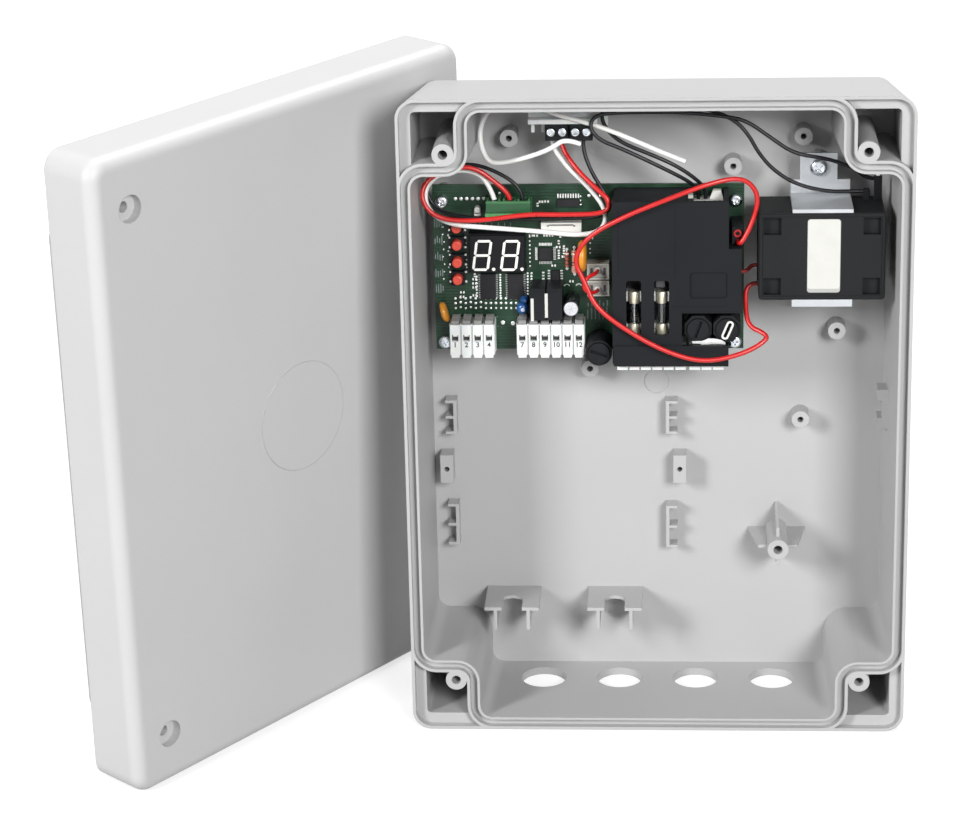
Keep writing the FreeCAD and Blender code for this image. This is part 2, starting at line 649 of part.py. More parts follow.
def pan_screw(x, z, seat_y, head_r, head_h, length):
    """A pan-head screw that points along +Y, its head resting at seat_y."""
    head = small_round(x, z, head_r, seat_y - head_h, seat_y, 12)
    shank = small_round(x, z, STANDOFF_HOLE_R - SEAT_GAP, seat_y - head_h / 2, seat_y + length, 12)
    return head.fuse(shank).removeSplitter()


def board_screws():
    return [pan_screw(x, z, BOARD_Y - SEAT_GAP, BOARD_SCREW_HEAD_R, BOARD_SCREW_HEAD_H, BOARD_SCREW_L)
            for x, z in board_screw_places()]


def switch_rows():
    return [SWITCH_Z + SWITCH_PITCH * (SWITCH_COUNT - 1 - i) for i in range(SWITCH_COUNT)]


def switch_bodies():
    half = SWITCH_BODY / 2
    front = BOARD_Y - SWITCH_BODY_H
    well = front + BUTTON_SEAT + BUTTON_TRAVEL + 1.6
    bodies = []
    for z in switch_rows():
        body = on_board(SWITCH_X - half, SWITCH_X + half, z - half, z + half, SWITCH_BODY_H)
        bodies.append(body.cut(small_round(SWITCH_X, z, BUTTON_R + BUTTON_PLAY, front - 1, well)))
    return group(bodies)


def button(z):
    front = BOARD_Y - SWITCH_BODY_H
    return small_round(SWITCH_X, z, BUTTON_R, front - BUTTON_PROUD, front + 1.6)


def display_module():
    """The two-digit display: a block with a slightly smaller face."""
    x0, x1 = DISPLAY_X
    z0, z1 = DISPLAY_Z
    base = on_board(x0, x1, z0, z1, DISPLAY_H - DISPLAY_STEP)
    rim = DISPLAY_STEP / 2
    face = on_board(x0 + rim, x1 - rim, z0 + rim, z1 - rim, DISPLAY_H)
    return base.fuse(face).removeSplitter()


def pole_centres(start, count):
    return [start + POLE_PITCH * (i + 0.5) for i in range(count)]


def lever_back():
    return BOARD_Y - LEVER_REAR


def lever_front():
    return BOARD_Y - TERMINAL_H + LEVER_FRONT


def lever_floor():
    return TERMINAL_Z[1] + LEVER_PROUD - LEVER_T


def lever(x):
    """One lying lever."""
    half = LEVER_W / 2
    low = lever_floor()
    return box(x - half, x + half, lever_front(), lever_back(), low, low + LEVER_T)


def lever_pocket(x):
    """The lever's pocket: a ledge at the back and a floor that slopes down to the front."""
    top = TERMINAL_Z[1] + 1
    ledge = lever_floor() - SEAT_GAP
    front = lever_front() - LEVER_PLAY
    back = lever_back() + LEVER_PLAY
    pivot = lever_back() - LEVER_PIVOT
    drop = (pivot - front) * math.tan(math.radians(LEVER_SWING + 1))
    side = x - LEVER_W / 2 - LEVER_PLAY
    corners = [(front, top), (back, top), (back, ledge), (pivot, ledge), (front, ledge - drop)]
    corners.append(corners[0])
    outline = Part.makePolygon([place(side, y, z) for y, z in corners])
    return Part.Face(outline).extrude(place(LEVER_W + 2 * LEVER_PLAY, 0, 0))


def terminal_housing(start, count):
    """A row of poles: wire holes in front, a groove between poles, lever pockets on top."""
    z0, z1 = TERMINAL_Z
    end = start + POLE_PITCH * count
    body = on_board(start, end, z0, z1, TERMINAL_H)
    front = BOARD_Y - TERMINAL_H
    cuts = []
    for x in pole_centres(start, count):
        hole = WIRE_HOLE / 2
        cuts.append(box(x - hole, x + hole, front - 1, front + WIRE_HOLE_DEPTH,
                        WIRE_HOLE_Z - hole, WIRE_HOLE_Z + hole))
        cuts.append(lever_pocket(x))
    for i in range(count + 1):
        x = start + POLE_PITCH * i
        cuts.append(box(x - POLE_GAP / 2, x + POLE_GAP / 2, front - 1, front + POLE_GAP_DEPTH,
                        z0 - 1, z1 + 1))
        cuts.append(box(x - POLE_GAP, x + POLE_GAP, front - 1, BOARD_Y - 3, z0 - 1, z0 + 1.2))
    return body.cut(cuts)


def slot_cap(x, z, front, stem, slot_turn):
    """A round screw cap with a driver slot, turned from upright."""
    cap = small_round(x, z, CAP_R, front, front + stem, CAP_SIDES)
    turn = math.radians(slot_turn)
    corners = []
    for side, end in ((-1, -1), (1, -1), (1, 1), (-1, 1)):
        across, along = side * CAP_SLOT / 2, end * (CAP_R - CAP_SLOT_END)
        corners.append(place(x + across * math.cos(turn) + along * math.sin(turn), front - 1,
                             z - across * math.sin(turn) + along * math.cos(turn)))
    return cap.cut(prism(corners, CAP_SLOT_DEPTH + 1))


def cap_socket(x, z, cap_front, outer_r, outer_sides):
    """The bored post that a cap turns in."""
    front = cap_front + 1.2
    post = small_round(x, z, outer_r, front, BOARD_Y, outer_sides)
    bore = small_round(x, z, CAP_R + CAP_PLAY, front - 1, cap_front + CAP_STEM + SEAT_GAP, CAP_SIDES)
    return post.cut(bore)


def power_cover():
    """The black cover over the mains side, open at the back, below and at its cable mouth."""
    x0, x1 = COVER_X
    z0, z1 = COVER_Z
    wall = COVER_WALL
    back = BOARD_Y - SEAT_GAP
    body = rounded_slab(x0, x1, z0, z1, COVER_CORNER_R, COVER_FRONT, back)
    band_front = COVER_FRONT - COVER_BAND_PROUD
    band = box(x0 + 0.4, COVER_BAND_X, band_front, COVER_FRONT + 1, z0 + 0.4, COVER_BAND_Z)
    body = fuse_all([body, band])
    inside = COVER_FRONT + wall
    lower_wall = COVER_BAND_X - wall
    upper_wall = COVER_NOTCH_X - wall
    cuts = [box(x0 + wall, lower_wall, inside, back + 1, z0 - 1, COVER_BAND_Z - wall),
            box(x0 + wall, upper_wall, inside, back + 1, COVER_BAND_Z - wall - 1, z1 - wall),
            box(upper_wall - 1, x1 - wall, inside, back + 1, COVER_BAND_Z - wall, COVER_NOTCH_Z - wall),
            box(COVER_BAND_X, x1 + 1, COVER_FRONT - 2, back + 1, z0 - 1, COVER_BAND_Z),
            box(x1 - wall - 1, x1 + 1, COVER_FRONT - 2, back + 1, COVER_BAND_Z - 1, CAP_WINDOW_Z[1]),
            box(COVER_NOTCH_X, x1 + 1, COVER_FRONT - 2, back + 1, COVER_NOTCH_Z, z1 + 1),
            box(COVER_MOUTH_X[0], COVER_MOUTH_X[1], inside, back + 1, z1 - wall - 1, z1 + 1),
            box(CAP_WINDOW_X, x1 + 1, COVER_FRONT - 2, inside + 1, CAP_WINDOW_Z[0], CAP_WINDOW_Z[1]),
            rounded_slab(COVER_PANEL_X[0], COVER_PANEL_X[1], COVER_PANEL_Z[0], COVER_PANEL_Z[1], 1.5,
                         COVER_FRONT - 1, COVER_FRONT + COVER_PANEL_DEPTH)]
    half = FUSE_WINDOW_W / 2
    for x in FUSE_X:
        low = FUSE_Z[0] + FUSE_WINDOW_LOW
        cuts.append(rounded_slab(x - half, x + half, low, low + FUSE_WINDOW_H, 1.2,
                                 COVER_FRONT - 1, inside + 1))
    return body.cut(cuts).removeSplitter()


def power_terminals():
    """The two hidden rows of mains terminals."""
    z0, z1 = POWER_TERMINAL_Z
    rows = []
    for start, count in zip(POWER_POLE_STARTS, POWER_POLE_COUNTS):
        body = box(start, start + POLE_PITCH * count, POWER_TERMINAL_FRONT, BOARD_Y, z0, z1)
        gaps = [box(start + POLE_PITCH * i - POLE_GAP / 2, start + POLE_PITCH * i + POLE_GAP / 2,
                    POWER_TERMINAL_FRONT - 1, BOARD_Y - 3, z0 - 1, z0 + 1.4) for i in range(1, count)]
        rows.append(body.cut(gaps))
    return group(rows)


def upright(x, y, radius, z0, z1, sides):
    """A many-sided post along Z in the inner layout."""
    ring = [place(px, py, z0) for px, py in ring_points(x, y, radius, sides)]
    return Part.Face(Part.makePolygon(ring + [ring[0]])).extrude(place(0, 0, z1 - z0))


def fuse_rod(x, radius, z0, z1):
    return upright(x, FUSE_Y, radius, z0, z1, 16)


def fuse_glass():
    low, high = FUSE_Z[0] + FUSE_CAP_L, FUSE_Z[1] - FUSE_CAP_L
    return group([fuse_rod(x, FUSE_GLASS_R, low, high) for x in FUSE_X])


def fuse_caps():
    caps = []
    for x in FUSE_X:
        caps.append(fuse_rod(x, FUSE_R, FUSE_Z[0], FUSE_Z[0] + FUSE_CAP_L))
        caps.append(fuse_rod(x, FUSE_R, FUSE_Z[1] - FUSE_CAP_L, FUSE_Z[1]))
    return group(caps)


def fuse_clips():
    clips = []
    for x in FUSE_X:
        saddle = fuse_rod(x, FUSE_R + SEAT_GAP, FUSE_Z[0] - 1, FUSE_Z[1] + 1)
        for z in (FUSE_Z[0] + 0.5, FUSE_Z[1] - 0.5 - CLIP_L):
            block = box(x - CLIP_W / 2, x + CLIP_W / 2, FUSE_Y + 0.4, BOARD_Y, z, z + CLIP_L)
            clips.append(block.cut(saddle))
    return group(clips)


def link_bar():
    """The bright link between the two fuse holders, on two legs."""
    x0, x1 = LINK_BAR_X
    z0, z1 = LINK_BAR_Z
    face = box(x0, x1, LINK_BAR_FRONT, LINK_BAR_FRONT + LINK_BAR_T, z0 + 1.6, z1)
    legs = [box(x, x + LINK_BAR_T, LINK_BAR_FRONT, BOARD_Y, z0 + 1.6, z1) for x in (x0, x1 - LINK_BAR_T)]
    return fuse_all([face] + legs)


def mains_plug():
    x0, x1 = MAINS_PLUG_X
    z0, z1 = MAINS_PLUG_Z
    body = on_board(x0, x1, z0, z1, MAINS_PLUG_H)
    lx0, lx1 = MAINS_LATCH_X
    back = BOARD_Y - 2
    latch = Part.Face(Part.makePolygon([
        place(lx0, back, z1), place(lx1, back, z1), place(lx1 - 1, back, MAINS_LATCH_Z),
        place(lx0 + 1.6, back, MAINS_LATCH_Z), place(lx0, back, z1)]))
    return body.fuse(latch.extrude(FreeCAD.Vector(0, -3.5, 0))).removeSplitter()


def disc_capacitor(x, z, radius, thickness):
    """A disc that stands square to the board on two leads."""
    y = BOARD_Y - DISC_LIFT - radius
    ring = [place(x, py, pz) for py, pz in ring_points(y, z, radius, CAP_SIDES)]
    disc = Part.Face(Part.makePolygon(ring + [ring[0]])).extrude(place(thickness, 0, 0))
    middle = x + thickness / 2
    lead_front = BOARD_Y - DISC_LIFT - 1.5
    leads = [box(middle - 0.4, middle + 0.4, lead_front, BOARD_Y, z + side - 0.4, z + side + 0.4)
             for side in (-1.5, 1.5)]
    return fuse_all([disc] + leads)


def lying_part(x, z_range, radius):
    """A leaded part that lies flat on the board along Z."""
    z0, z1 = z_range
    return upright(x, BOARD_Y - radius, radius, z0, z1, 12)


def transformer_body():
    """The moulded transformer with its four corner recesses."""
    x0, x1 = TRAFO_X
    z0, z1 = TRAFO_Z
    body = rounded_slab(x0, x1, z0, z1, TRAFO_CORNER_R, TRAFO_Y[0], TRAFO_Y[1])
    edge, size = TRAFO_POCKET_EDGE, TRAFO_POCKET
    cuts = [box(px, px + size, TRAFO_Y[0] - 1, TRAFO_Y[0] + TRAFO_POCKET_DEPTH, pz, pz + size)
            for px in (x0 + edge, x1 - edge - size) for pz in (z0 + edge, z1 - edge - size)]
    return body.cut(cuts)


def transformer_pins():
    half = TRAFO_PIN / 2
    return group([box(x - half, x + half, TRAFO_PIN_Y - half, TRAFO_PIN_Y + half, TRAFO_Z[1], top)
                  for x, top in zip(TRAFO_PIN_X, TRAFO_PIN_TOP)])


def transformer_strap():
    """The folded steel strap over and under the transformer, with a screwed foot at each end."""
    x0, x1 = STRAP_X
    back = STRAP_BACK - STRAP_T
    pieces = [box(x0, x1, back, STRAP_BACK, TRAFO_Z[0] - STRAP_T, TRAFO_Z[1] + STRAP_T),
              box(x0, x1, TRAFO_Y[0], STRAP_BACK, TRAFO_Z[1], TRAFO_Z[1] + STRAP_T),
              box(x0, x1, TRAFO_Y[0], STRAP_BACK, TRAFO_Z[0] - STRAP_T, TRAFO_Z[0]),
              box(x0, x1, TRAFO_Y[0], TRAFO_Y[0] + STRAP_T, TRAFO_Z[0] - STRAP_LIP, TRAFO_Z[0]),
              box(x0, x1, back, STRAP_BACK, TRAFO_Z[1], TRAFO_Z[1] + FOOT_SHOULDER),
              box(FOOT_X[0], FOOT_X[1], back, STRAP_BACK, TRAFO_Z[1], FOOT_TOP_Z),
              box(FOOT_X[0], FOOT_X[1], back, STRAP_BACK, FOOT_LOW_Z, TRAFO_Z[0])]
    strap = fuse_all(pieces)
    holes = [small_round(FOOT_SCREW_X, z, BOARD_SCREW_R, STRAP_BACK - 3, STRAP_BACK + 1, 12)
             for z in FOOT_SCREW_Z]
    return strap.cut(holes)


def strap_screws():
    seat = STRAP_BACK - STRAP_T - SEAT_GAP
    return [pan_screw(FOOT_SCREW_X, z, seat, FOOT_SCREW_HEAD_R, FOOT_SCREW_HEAD_H, FOOT_SCREW_L)
            for z in FOOT_SCREW_Z]


def terminal_strip():
    body = box(STRIP_X[0], STRIP_X[1], STRIP_Y[0], STRIP_Y[1], STRIP_Z[0], STRIP_Z[1])
    middle = (STRIP_SCREW_X[1] + STRIP_SCREW_X[2]) / 2
    front = STRIP_Y[0]
    cuts = [small_round(x, STRIP_SCREW_Z, STRIP_WELL_R, front - 1, front + 5, 12) for x in STRIP_SCREW_X]
    cuts.append(box(middle - 0.6, middle + 0.6, front - 1, front + 3, STRIP_Z[0] - 1, STRIP_Z[1] + 1))
    return body.cut(cuts)


def strip_screws():
    front = STRIP_Y[0] - STRIP_SCREW_SINK
    screws = []
    for x in STRIP_SCREW_X:
        screw = small_round(x, STRIP_SCREW_Z, STRIP_SCREW_R, front, STRIP_Y[0] + 5, 12)
        slot = box(x - 0.35, x + 0.35, front - 1, front + 0.8, STRIP_SCREW_Z - 3, STRIP_SCREW_Z + 3)
        screws.append(screw.cut(slot))
    return group(screws)


def strip_bracket():
    """The moulded shelf that carries the strip from the back wall."""
    shelf = box(BRACKET_X[0], BRACKET_X[1], BRACKET_FRONT, BACK_Y, BRACKET_Z[0], BRACKET_Z[1])
    hollow = box(BRACKET_X[0] + 2, BRACKET_X[1] - 2, BRACKET_FRONT + BRACKET_LIP, BACK_Y - 2,
                 BRACKET_Z[0] + 1.6, BRACKET_Z[1] + 1)
    rear = STRIP_Y[1] + SEAT_GAP
    back_plate = box(STRIP_X[0] + 1, STRIP_X[1] - 1, rear, BACK_Y, STRIP_Z[0], BRACKET_Z[0] + 1)
    drop = BRACKET_Z[0] - BRACKET_TAB_DROP
    tabs = [box(x, x + 1.5, BRACKET_FRONT, BRACKET_FRONT + 3, drop, BRACKET_Z[0] + 1)
            for x in BRACKET_TAB_X]
    return fuse_all([shelf.cut(hollow), back_plate] + tabs)


def wire_path(points):
    """Straight runs joined by tangent arcs as large as the runs allow, and the arcs' radii."""
    corners = [place(*point) for point in points]
    start = corners[0]
    edges, radii = [], []
    for before, here, after in zip(corners, corners[1:], corners[2:]):
        back = (before - here).normalize()
        ahead = (after - here).normalize()
        half_turn = (math.pi - back.getAngle(ahead)) / 2
        reach = 0.45 * min((before - here).Length, (after - here).Length)
        radius = reach / math.tan(half_turn)
        radii.append(radius)
        first, last = here + back * reach, here + ahead * reach
        to_centre = (back + ahead).normalize()
        middle = here + to_centre * (radius / math.cos(half_turn) - radius)
        edges.append(Part.LineSegment(start, first).toShape())
        edges.append(Part.Arc(first, middle, last).toShape())
        start = last
    edges.append(Part.LineSegment(start, corners[-1]).toShape())
    return Part.Wire(edges), radii


def wire_samples(path):
    """Points along the path: the ends of each run, and steps of a few degrees round each bend."""
    samples = [path.Edges[0].valueAt(path.Edges[0].FirstParameter)]
    for edge in path.Edges:
        steps = 1
        if isinstance(edge.Curve, Part.Circle):
            steps = math.ceil(math.degrees(edge.Length / edge.Curve.Radius) / WIRE_BEND_STEP)
        span = (edge.LastParameter - edge.FirstParameter) / steps
        samples += [edge.valueAt(edge.FirstParameter + span * (i + 1)) for i in range(steps)]
    return samples


def wire_tube(name, diameter, points):
    """A wire's solid along its path, with the path's length and tightest bend printed."""
    path, radii = wire_path(points)
    samples = wire_samples(path)
    runs = [(after - before).normalize() for before, after in zip(samples, samples[1:])]
    across = FreeCAD.Vector(0, 0, 1) if abs(runs[0].z) < 0.9 else FreeCAD.Vector(1, 0, 0)
    side = runs[0].cross(across).normalize()
    up = runs[0].cross(side)
    radius = diameter / 2 * math.sqrt(2 * math.pi / (WIRE_SIDES * math.sin(2 * math.pi / WIRE_SIDES)))
    ring = []
    for i in range(WIRE_SIDES):
        angle = 2 * math.pi * (i + 0.5) / WIRE_SIDES
        ring.append(samples[0] + (side * math.cos(angle) + up * math.sin(angle)) * radius)
    faces = [Part.Face(Part.makePolygon(ring + [ring[0]]))]
    for here, run, ahead in zip(samples[1:], runs, runs[1:] + [runs[-1]]):
        mitre = (run + ahead).normalize()
        ends = [corner + run * ((here - corner).dot(mitre) / run.dot(mitre)) for corner in ring]
        for i in range(WIRE_SIDES):
            j = (i + 1) % WIRE_SIDES
            faces.append(Part.Face(Part.makePolygon([ring[i], ring[j], ends[j], ends[i], ring[i]])))
        ring = ends
    faces.append(Part.Face(Part.makePolygon(ring + [ring[0]])))
    shell = Part.makeShell(faces)
    shell.sewShape()
    tube = Part.makeSolid(shell)
    ratio = abs(tube.Volume) / (math.pi * diameter ** 2 / 4 * path.Length)
    print(f"{name}: length {path.Length:.1f}, least radius {min(radii):.1f}, volume ratio {ratio:.3f}")
    if tube.Volume < 0:
        tube.reverse()
    return tube


def lid():
    """The lid in its own frame: face at Y=0, rim at Y=LID_DEPTH, standing on Z=0."""
    shell = slab(rim_rectangle(0, RIM_CORNER_R, 0), LID_DEPTH)
    front_edges = [edge for edge in shell.Edges if edge.BoundBox.YMax < 0.01]
    shell = shell.makeFillet(LID_EDGE_R, front_edges)
    shell = shell.cut(slab(channel_wire(RIM_W, LID_WALL), LID_DEPTH))
    cuts = []
    for x, z in pocket_places():
        cuts.append(post(x, z, LID_SCREW_RECESS_R, -1, LID_SCREW_RECESS_DEPTH, 24))
        cuts.append(post(x, z, LID_SCREW_HOLE_R, LID_SCREW_RECESS_DEPTH - 1, LID_DEPTH + 1, 12))
    shell = shell.cut(cuts)
    disc = post(0, BOX_H / 2, LID_DISC_R, -LID_DISC_PROUD, 1, 40)
    return shell.fuse(disc).removeSplitter()


def lid_seal():
    """The rubber seal on the lid's rim, which drops into the groove of the base."""
    inner_inset = LIP_OUTER + GROOVE_W - LID_SEAL_CLEARANCE
    outer = slab(channel_wire(LIP_OUTER + LID_SEAL_CLEARANCE, LID_DEPTH), LID_SEAL_H)
    inner = slab(channel_wire(inner_inset, LID_DEPTH - 1), LID_SEAL_H + 2)
    return outer.cut(inner)


def stand_base(shape):
    """From the box frame to the floor: lean back onto the bottom wall, then centre it on the origin."""
    shape = shape.copy()
    lean = math.degrees(math.atan2(BACK_INSET, BASE_DEPTH))
    shape.rotate(FreeCAD.Vector(0, 0, 0), FreeCAD.Vector(1, 0, 0), -lean)
    shape.translate(FreeCAD.Vector(0, -floor_depth() / 2, 0))
    return shape


def floor_depth():
    """The depth of the bottom wall on the floor."""
    return math.hypot(BASE_DEPTH, BACK_INSET)


def lid_corner():
    """Where the lid's left edge stands, so that its face just clears the base's back left edge."""
    turn = math.radians(LID_TURN)
    lean = math.atan2(BACK_INSET, BASE_DEPTH)
    edge_x = BACK_INSET - BOX_W / 2
    edge_z = BOX_H - BACK_INSET - RIM_CORNER_R
    edge_y = BASE_DEPTH * math.cos(lean) + edge_z * math.sin(lean) - floor_depth() / 2
    x = -BOX_W / 2 - LID_LEFT
    clear = (edge_x - x) * math.sin(turn) - LID_GAP
    return x, edge_y - clear / math.cos(turn)


def stand_lid(shape):
    """From the lid's own frame to its place on the floor beside the base."""
    shape = shape.copy()
    x, y = lid_corner()
    shape.translate(FreeCAD.Vector(BOX_W / 2, 0, 0))
    shape.rotate(FreeCAD.Vector(0, 0, 0), FreeCAD.Vector(0, 0, 1), LID_TURN)
    shape.translate(FreeCAD.Vector(x, y, 0))
    return shape


def base_nodes():
    """Every node that stands in the base, by name, in the box frame."""
    sockets = [cap_socket(x, z, COVER_CAP_FRONT, COVER_CAP_SOCKET_R, 8) for x, z in COVER_CAP_PLACES]
    sockets.append(cap_socket(*BOARD_CAP_AT, BOARD_CAP_FRONT, BOARD_CAP_SOCKET_R, CAP_SIDES))
    plug_x0, plug_x1 = PLUG_X
    signal_header = on_board(plug_x0, plug_x1, PLUG_Z[0], PLUG_Z[1], PLUG_HEADER_H)
    lying = [lying_part(RESISTOR_X, RESISTOR_Z, RESISTOR_R), lying_part(DIODE_X, DIODE_Z, DIODE_R)]
    drop_cap = small_round(*DROP_CAP_AT, DROP_CAP_R, BOARD_Y - DROP_CAP_H, BOARD_Y)
    filter_cap = small_round(*FILTER_CAP_AT, FILTER_CAP_R, BOARD_Y - FILTER_CAP_H, BOARD_Y, CAP_SIDES)
    nodes = {
        "enclosure_base": enclosure_base(),
        "control_board": control_board(),
        "fixing_screws": group(board_screws() + strap_screws()),
        "display_module": display_module(),
        "switch_bodies": switch_bodies(),
        "power_cover": power_cover(),
        "power_terminals": power_terminals(),
        "fuse_glass": fuse_glass(),
        "fuse_end_caps": fuse_caps(),
        "fuse_clips": fuse_clips(),
        "fuse_link_bar": link_bar(),
        "fuse_sockets": group(sockets),
        "fuse_cap_board": slot_cap(*BOARD_CAP_AT, BOARD_CAP_FRONT, CAP_STEM, BOARD_CAP_SLOT_TURN),
        "relays": group([on_board(*relay, RELAY_H) for relay in RELAYS]),
        "board_chips": group([on_board(*chip, CHIP_H) for chip in CHIPS]),
        "filter_capacitor": filter_cap,
        "leaded_parts": group([drop_cap] + [disc_capacitor(*disc) for disc in DISCS] + lying),
        "board_headers": group([signal_header] + [on_board(*header) for header in HEADERS]),
        "signal_plug": box(plug_x0 + 0.4, plug_x1 - 0.4, PLUG_FRONT, BOARD_Y - PLUG_HEADER_H, *PLUG_Z),
        "accessory_plugs": group([on_board(*plug, ACCESSORY_PLUG_H) for plug in ACCESSORY_PLUGS]),
        "accessory_tab_block": box(*TAB_BLOCK_X, TAB_BLOCK_FRONT, BOARD_Y, *TAB_BLOCK_Z),
        "mains_plug": mains_plug(),
        "transformer_body": transformer_body(),
        "transformer_pins": transformer_pins(),
        "transformer_strap": transformer_strap(),
        "terminal_strip": terminal_strip(),
        "strip_screws": strip_screws(),
        "strip_bracket": strip_bracket(),
    }
    for name, start in TERMINAL_STARTS.items():
        nodes[name] = terminal_housing(start, TERMINAL_COUNTS[name])
        for i, x in enumerate(pole_centres(start, TERMINAL_COUNTS[name])):
            nodes[f"lever_{TERMINAL_FIRST_NUMBERS[name] + i:02d}"] = lever(x)
    for i, z in enumerate(switch_rows()):
        nodes[f"button_{i + 1}"] = button(z)
    for i, (x, z) in enumerate(COVER_CAP_PLACES):
        nodes[f"fuse_cap_{i + 1}"] = slot_cap(x, z, COVER_CAP_FRONT, CAP_STEM, COVER_CAP_SLOT_TURN)
    for name, (diameter, points) in WIRES.items():
        nodes[name] = wire_tube(name, diameter, points)
    return nodes


def main():
    os.makedirs("parts", exist_ok=True)
    for name, shape in base_nodes().items():
        stand_base(shape).exportStep(f"parts/{name}.step")
    stand_lid(lid()).exportStep("parts/lid.step")
    stand_lid(lid_seal()).exportStep("parts/lid_seal.step")


main()
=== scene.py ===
import math
import random
import bpy
import bmesh
from mathutils import Matrix, Vector


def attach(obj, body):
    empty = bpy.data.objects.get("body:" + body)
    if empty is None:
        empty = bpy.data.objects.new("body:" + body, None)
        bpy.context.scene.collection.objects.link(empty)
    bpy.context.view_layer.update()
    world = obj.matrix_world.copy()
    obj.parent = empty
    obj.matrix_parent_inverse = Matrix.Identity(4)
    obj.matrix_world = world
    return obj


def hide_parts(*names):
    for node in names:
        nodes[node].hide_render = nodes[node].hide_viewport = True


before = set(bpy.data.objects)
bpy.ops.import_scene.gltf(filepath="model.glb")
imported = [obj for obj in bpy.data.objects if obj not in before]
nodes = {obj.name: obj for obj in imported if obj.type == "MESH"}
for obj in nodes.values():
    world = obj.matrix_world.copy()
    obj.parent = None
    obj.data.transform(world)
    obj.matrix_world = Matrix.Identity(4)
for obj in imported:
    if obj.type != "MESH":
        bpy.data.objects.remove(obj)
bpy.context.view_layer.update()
scene = bpy.context.scene

# The box frame: X right, Y from the rim to the back wall, Z up along the rim, in millimetres.
# The standing base leans back by its draft, so every place is turned into the row frame here.
LEAN = math.atan2(5.0, 62.0)
HALF_FLOOR = math.hypot(5.0, 62.0) / 2
LEAN_TURN = Matrix.Rotation(-LEAN, 3, "X")


def spot(x, y, z):
    """A place of the box frame, in metres in the row frame."""
    return (LEAN_TURN @ Vector((x, y, z)) - Vector((0, HALF_FLOOR, 0))) / 1000


def new_object(name, data):
    """An object of the scene with this data."""
    made = bpy.data.objects.new(name, data)
    scene.collection.objects.link(made)
    return made


# ---- camera ----
# Fitted to the base's mouth, floor and pillars in the photograph; the place is in the box frame
PHOTO_WIDTH, FOCAL_PIXELS, SENSOR = 970, 3002.64, 36.0
CAMERA_PLACE = (10.82, -1239.95, 563.79)
YAW, PITCH, ROLL = math.radians(-3.93), math.radians(18.37), math.radians(-1.29)


def camera():
    """The photograph's camera."""
    data = bpy.data.cameras.new("photo_camera")
    data.sensor_width = SENSOR
    data.lens = FOCAL_PIXELS / PHOTO_WIDTH * SENSOR
    data.clip_start, data.clip_end = 0.05, 50
    cam = new_object("photo_camera", data)
    forward = Vector((math.sin(YAW) * math.cos(PITCH), math.cos(YAW) * math.cos(PITCH), -math.sin(PITCH)))
    level = Vector((math.cos(YAW), -math.sin(YAW), 0))
    up = level.cross(forward)
    right = level * math.cos(ROLL) + up * math.sin(ROLL)
    top = up * math.cos(ROLL) - level * math.sin(ROLL)
    turn = Matrix([LEAN_TURN @ right, LEAN_TURN @ top, LEAN_TURN @ -forward]).transposed().to_4x4()
    turn.translation = spot(*CAMERA_PLACE)
    cam.matrix_world = turn
    scene.camera = cam


camera()


# ---- materials ----
def fill(tree, made, inputs):
    """Sets each input to a constant, or links it to another node's output."""
    for key, value in inputs.items():
        if hasattr(value, "links"):
            tree.links.new(value, made.inputs[key])
        else:
            made.inputs[key].default_value = value


def node(tree, kind, inputs, **settings):
    """A new shader node with its inputs and settings."""
    made = tree.nodes.new(kind)
    for key, value in settings.items():
        setattr(made, key, value)
    fill(tree, made, inputs)
    return made


def noise(tree, scale, detail=3.0, rough=0.5, stretch=None):
    """Noise in real metres over the object."""
    place = node(tree, "ShaderNodeTexCoord", {}).outputs["Object"]
    if stretch:
        place = node(tree, "ShaderNodeMapping", {"Scale": stretch, "Vector": place}).outputs["Vector"]
    made = node(tree, "ShaderNodeTexNoise",
                {"Vector": place, "Scale": scale, "Detail": detail, "Roughness": rough})
    return made.outputs["Fac"]


def span(tree, value, low, high, start=0.3, end=0.7):
    """Maps start..end of a value to low..high."""
    made = node(tree, "ShaderNodeMapRange",
                {"Value": value, "From Min": start, "From Max": end, "To Min": low, "To Max": high})
    return made.outputs["Result"]


def blend_colour(tree, fac, a, b):
    """Mixes two colours, each a constant or another node's output."""
    a, b = (value if hasattr(value, "links") else (*value, 1.0) for value in (a, b))
    return node(tree, "ShaderNodeMix", {"Factor": fac, 6: a, 7: b}, data_type="RGBA").outputs[2]


def combine(tree, operation, a, b):
    """One step of arithmetic on two values."""
    return node(tree, "ShaderNodeMath", {0: a, 1: b}, operation=operation).outputs[0]


def tint(colour, share):
    """A colour made lighter or darker."""
    return tuple(min(1.0, c * share) for c in colour)


def material(name):
    """A new material, its node tree and its shader."""
    made = bpy.data.materials.new(name)
    made.use_nodes = True
    return made, made.node_tree, made.node_tree.nodes["Principled BSDF"]


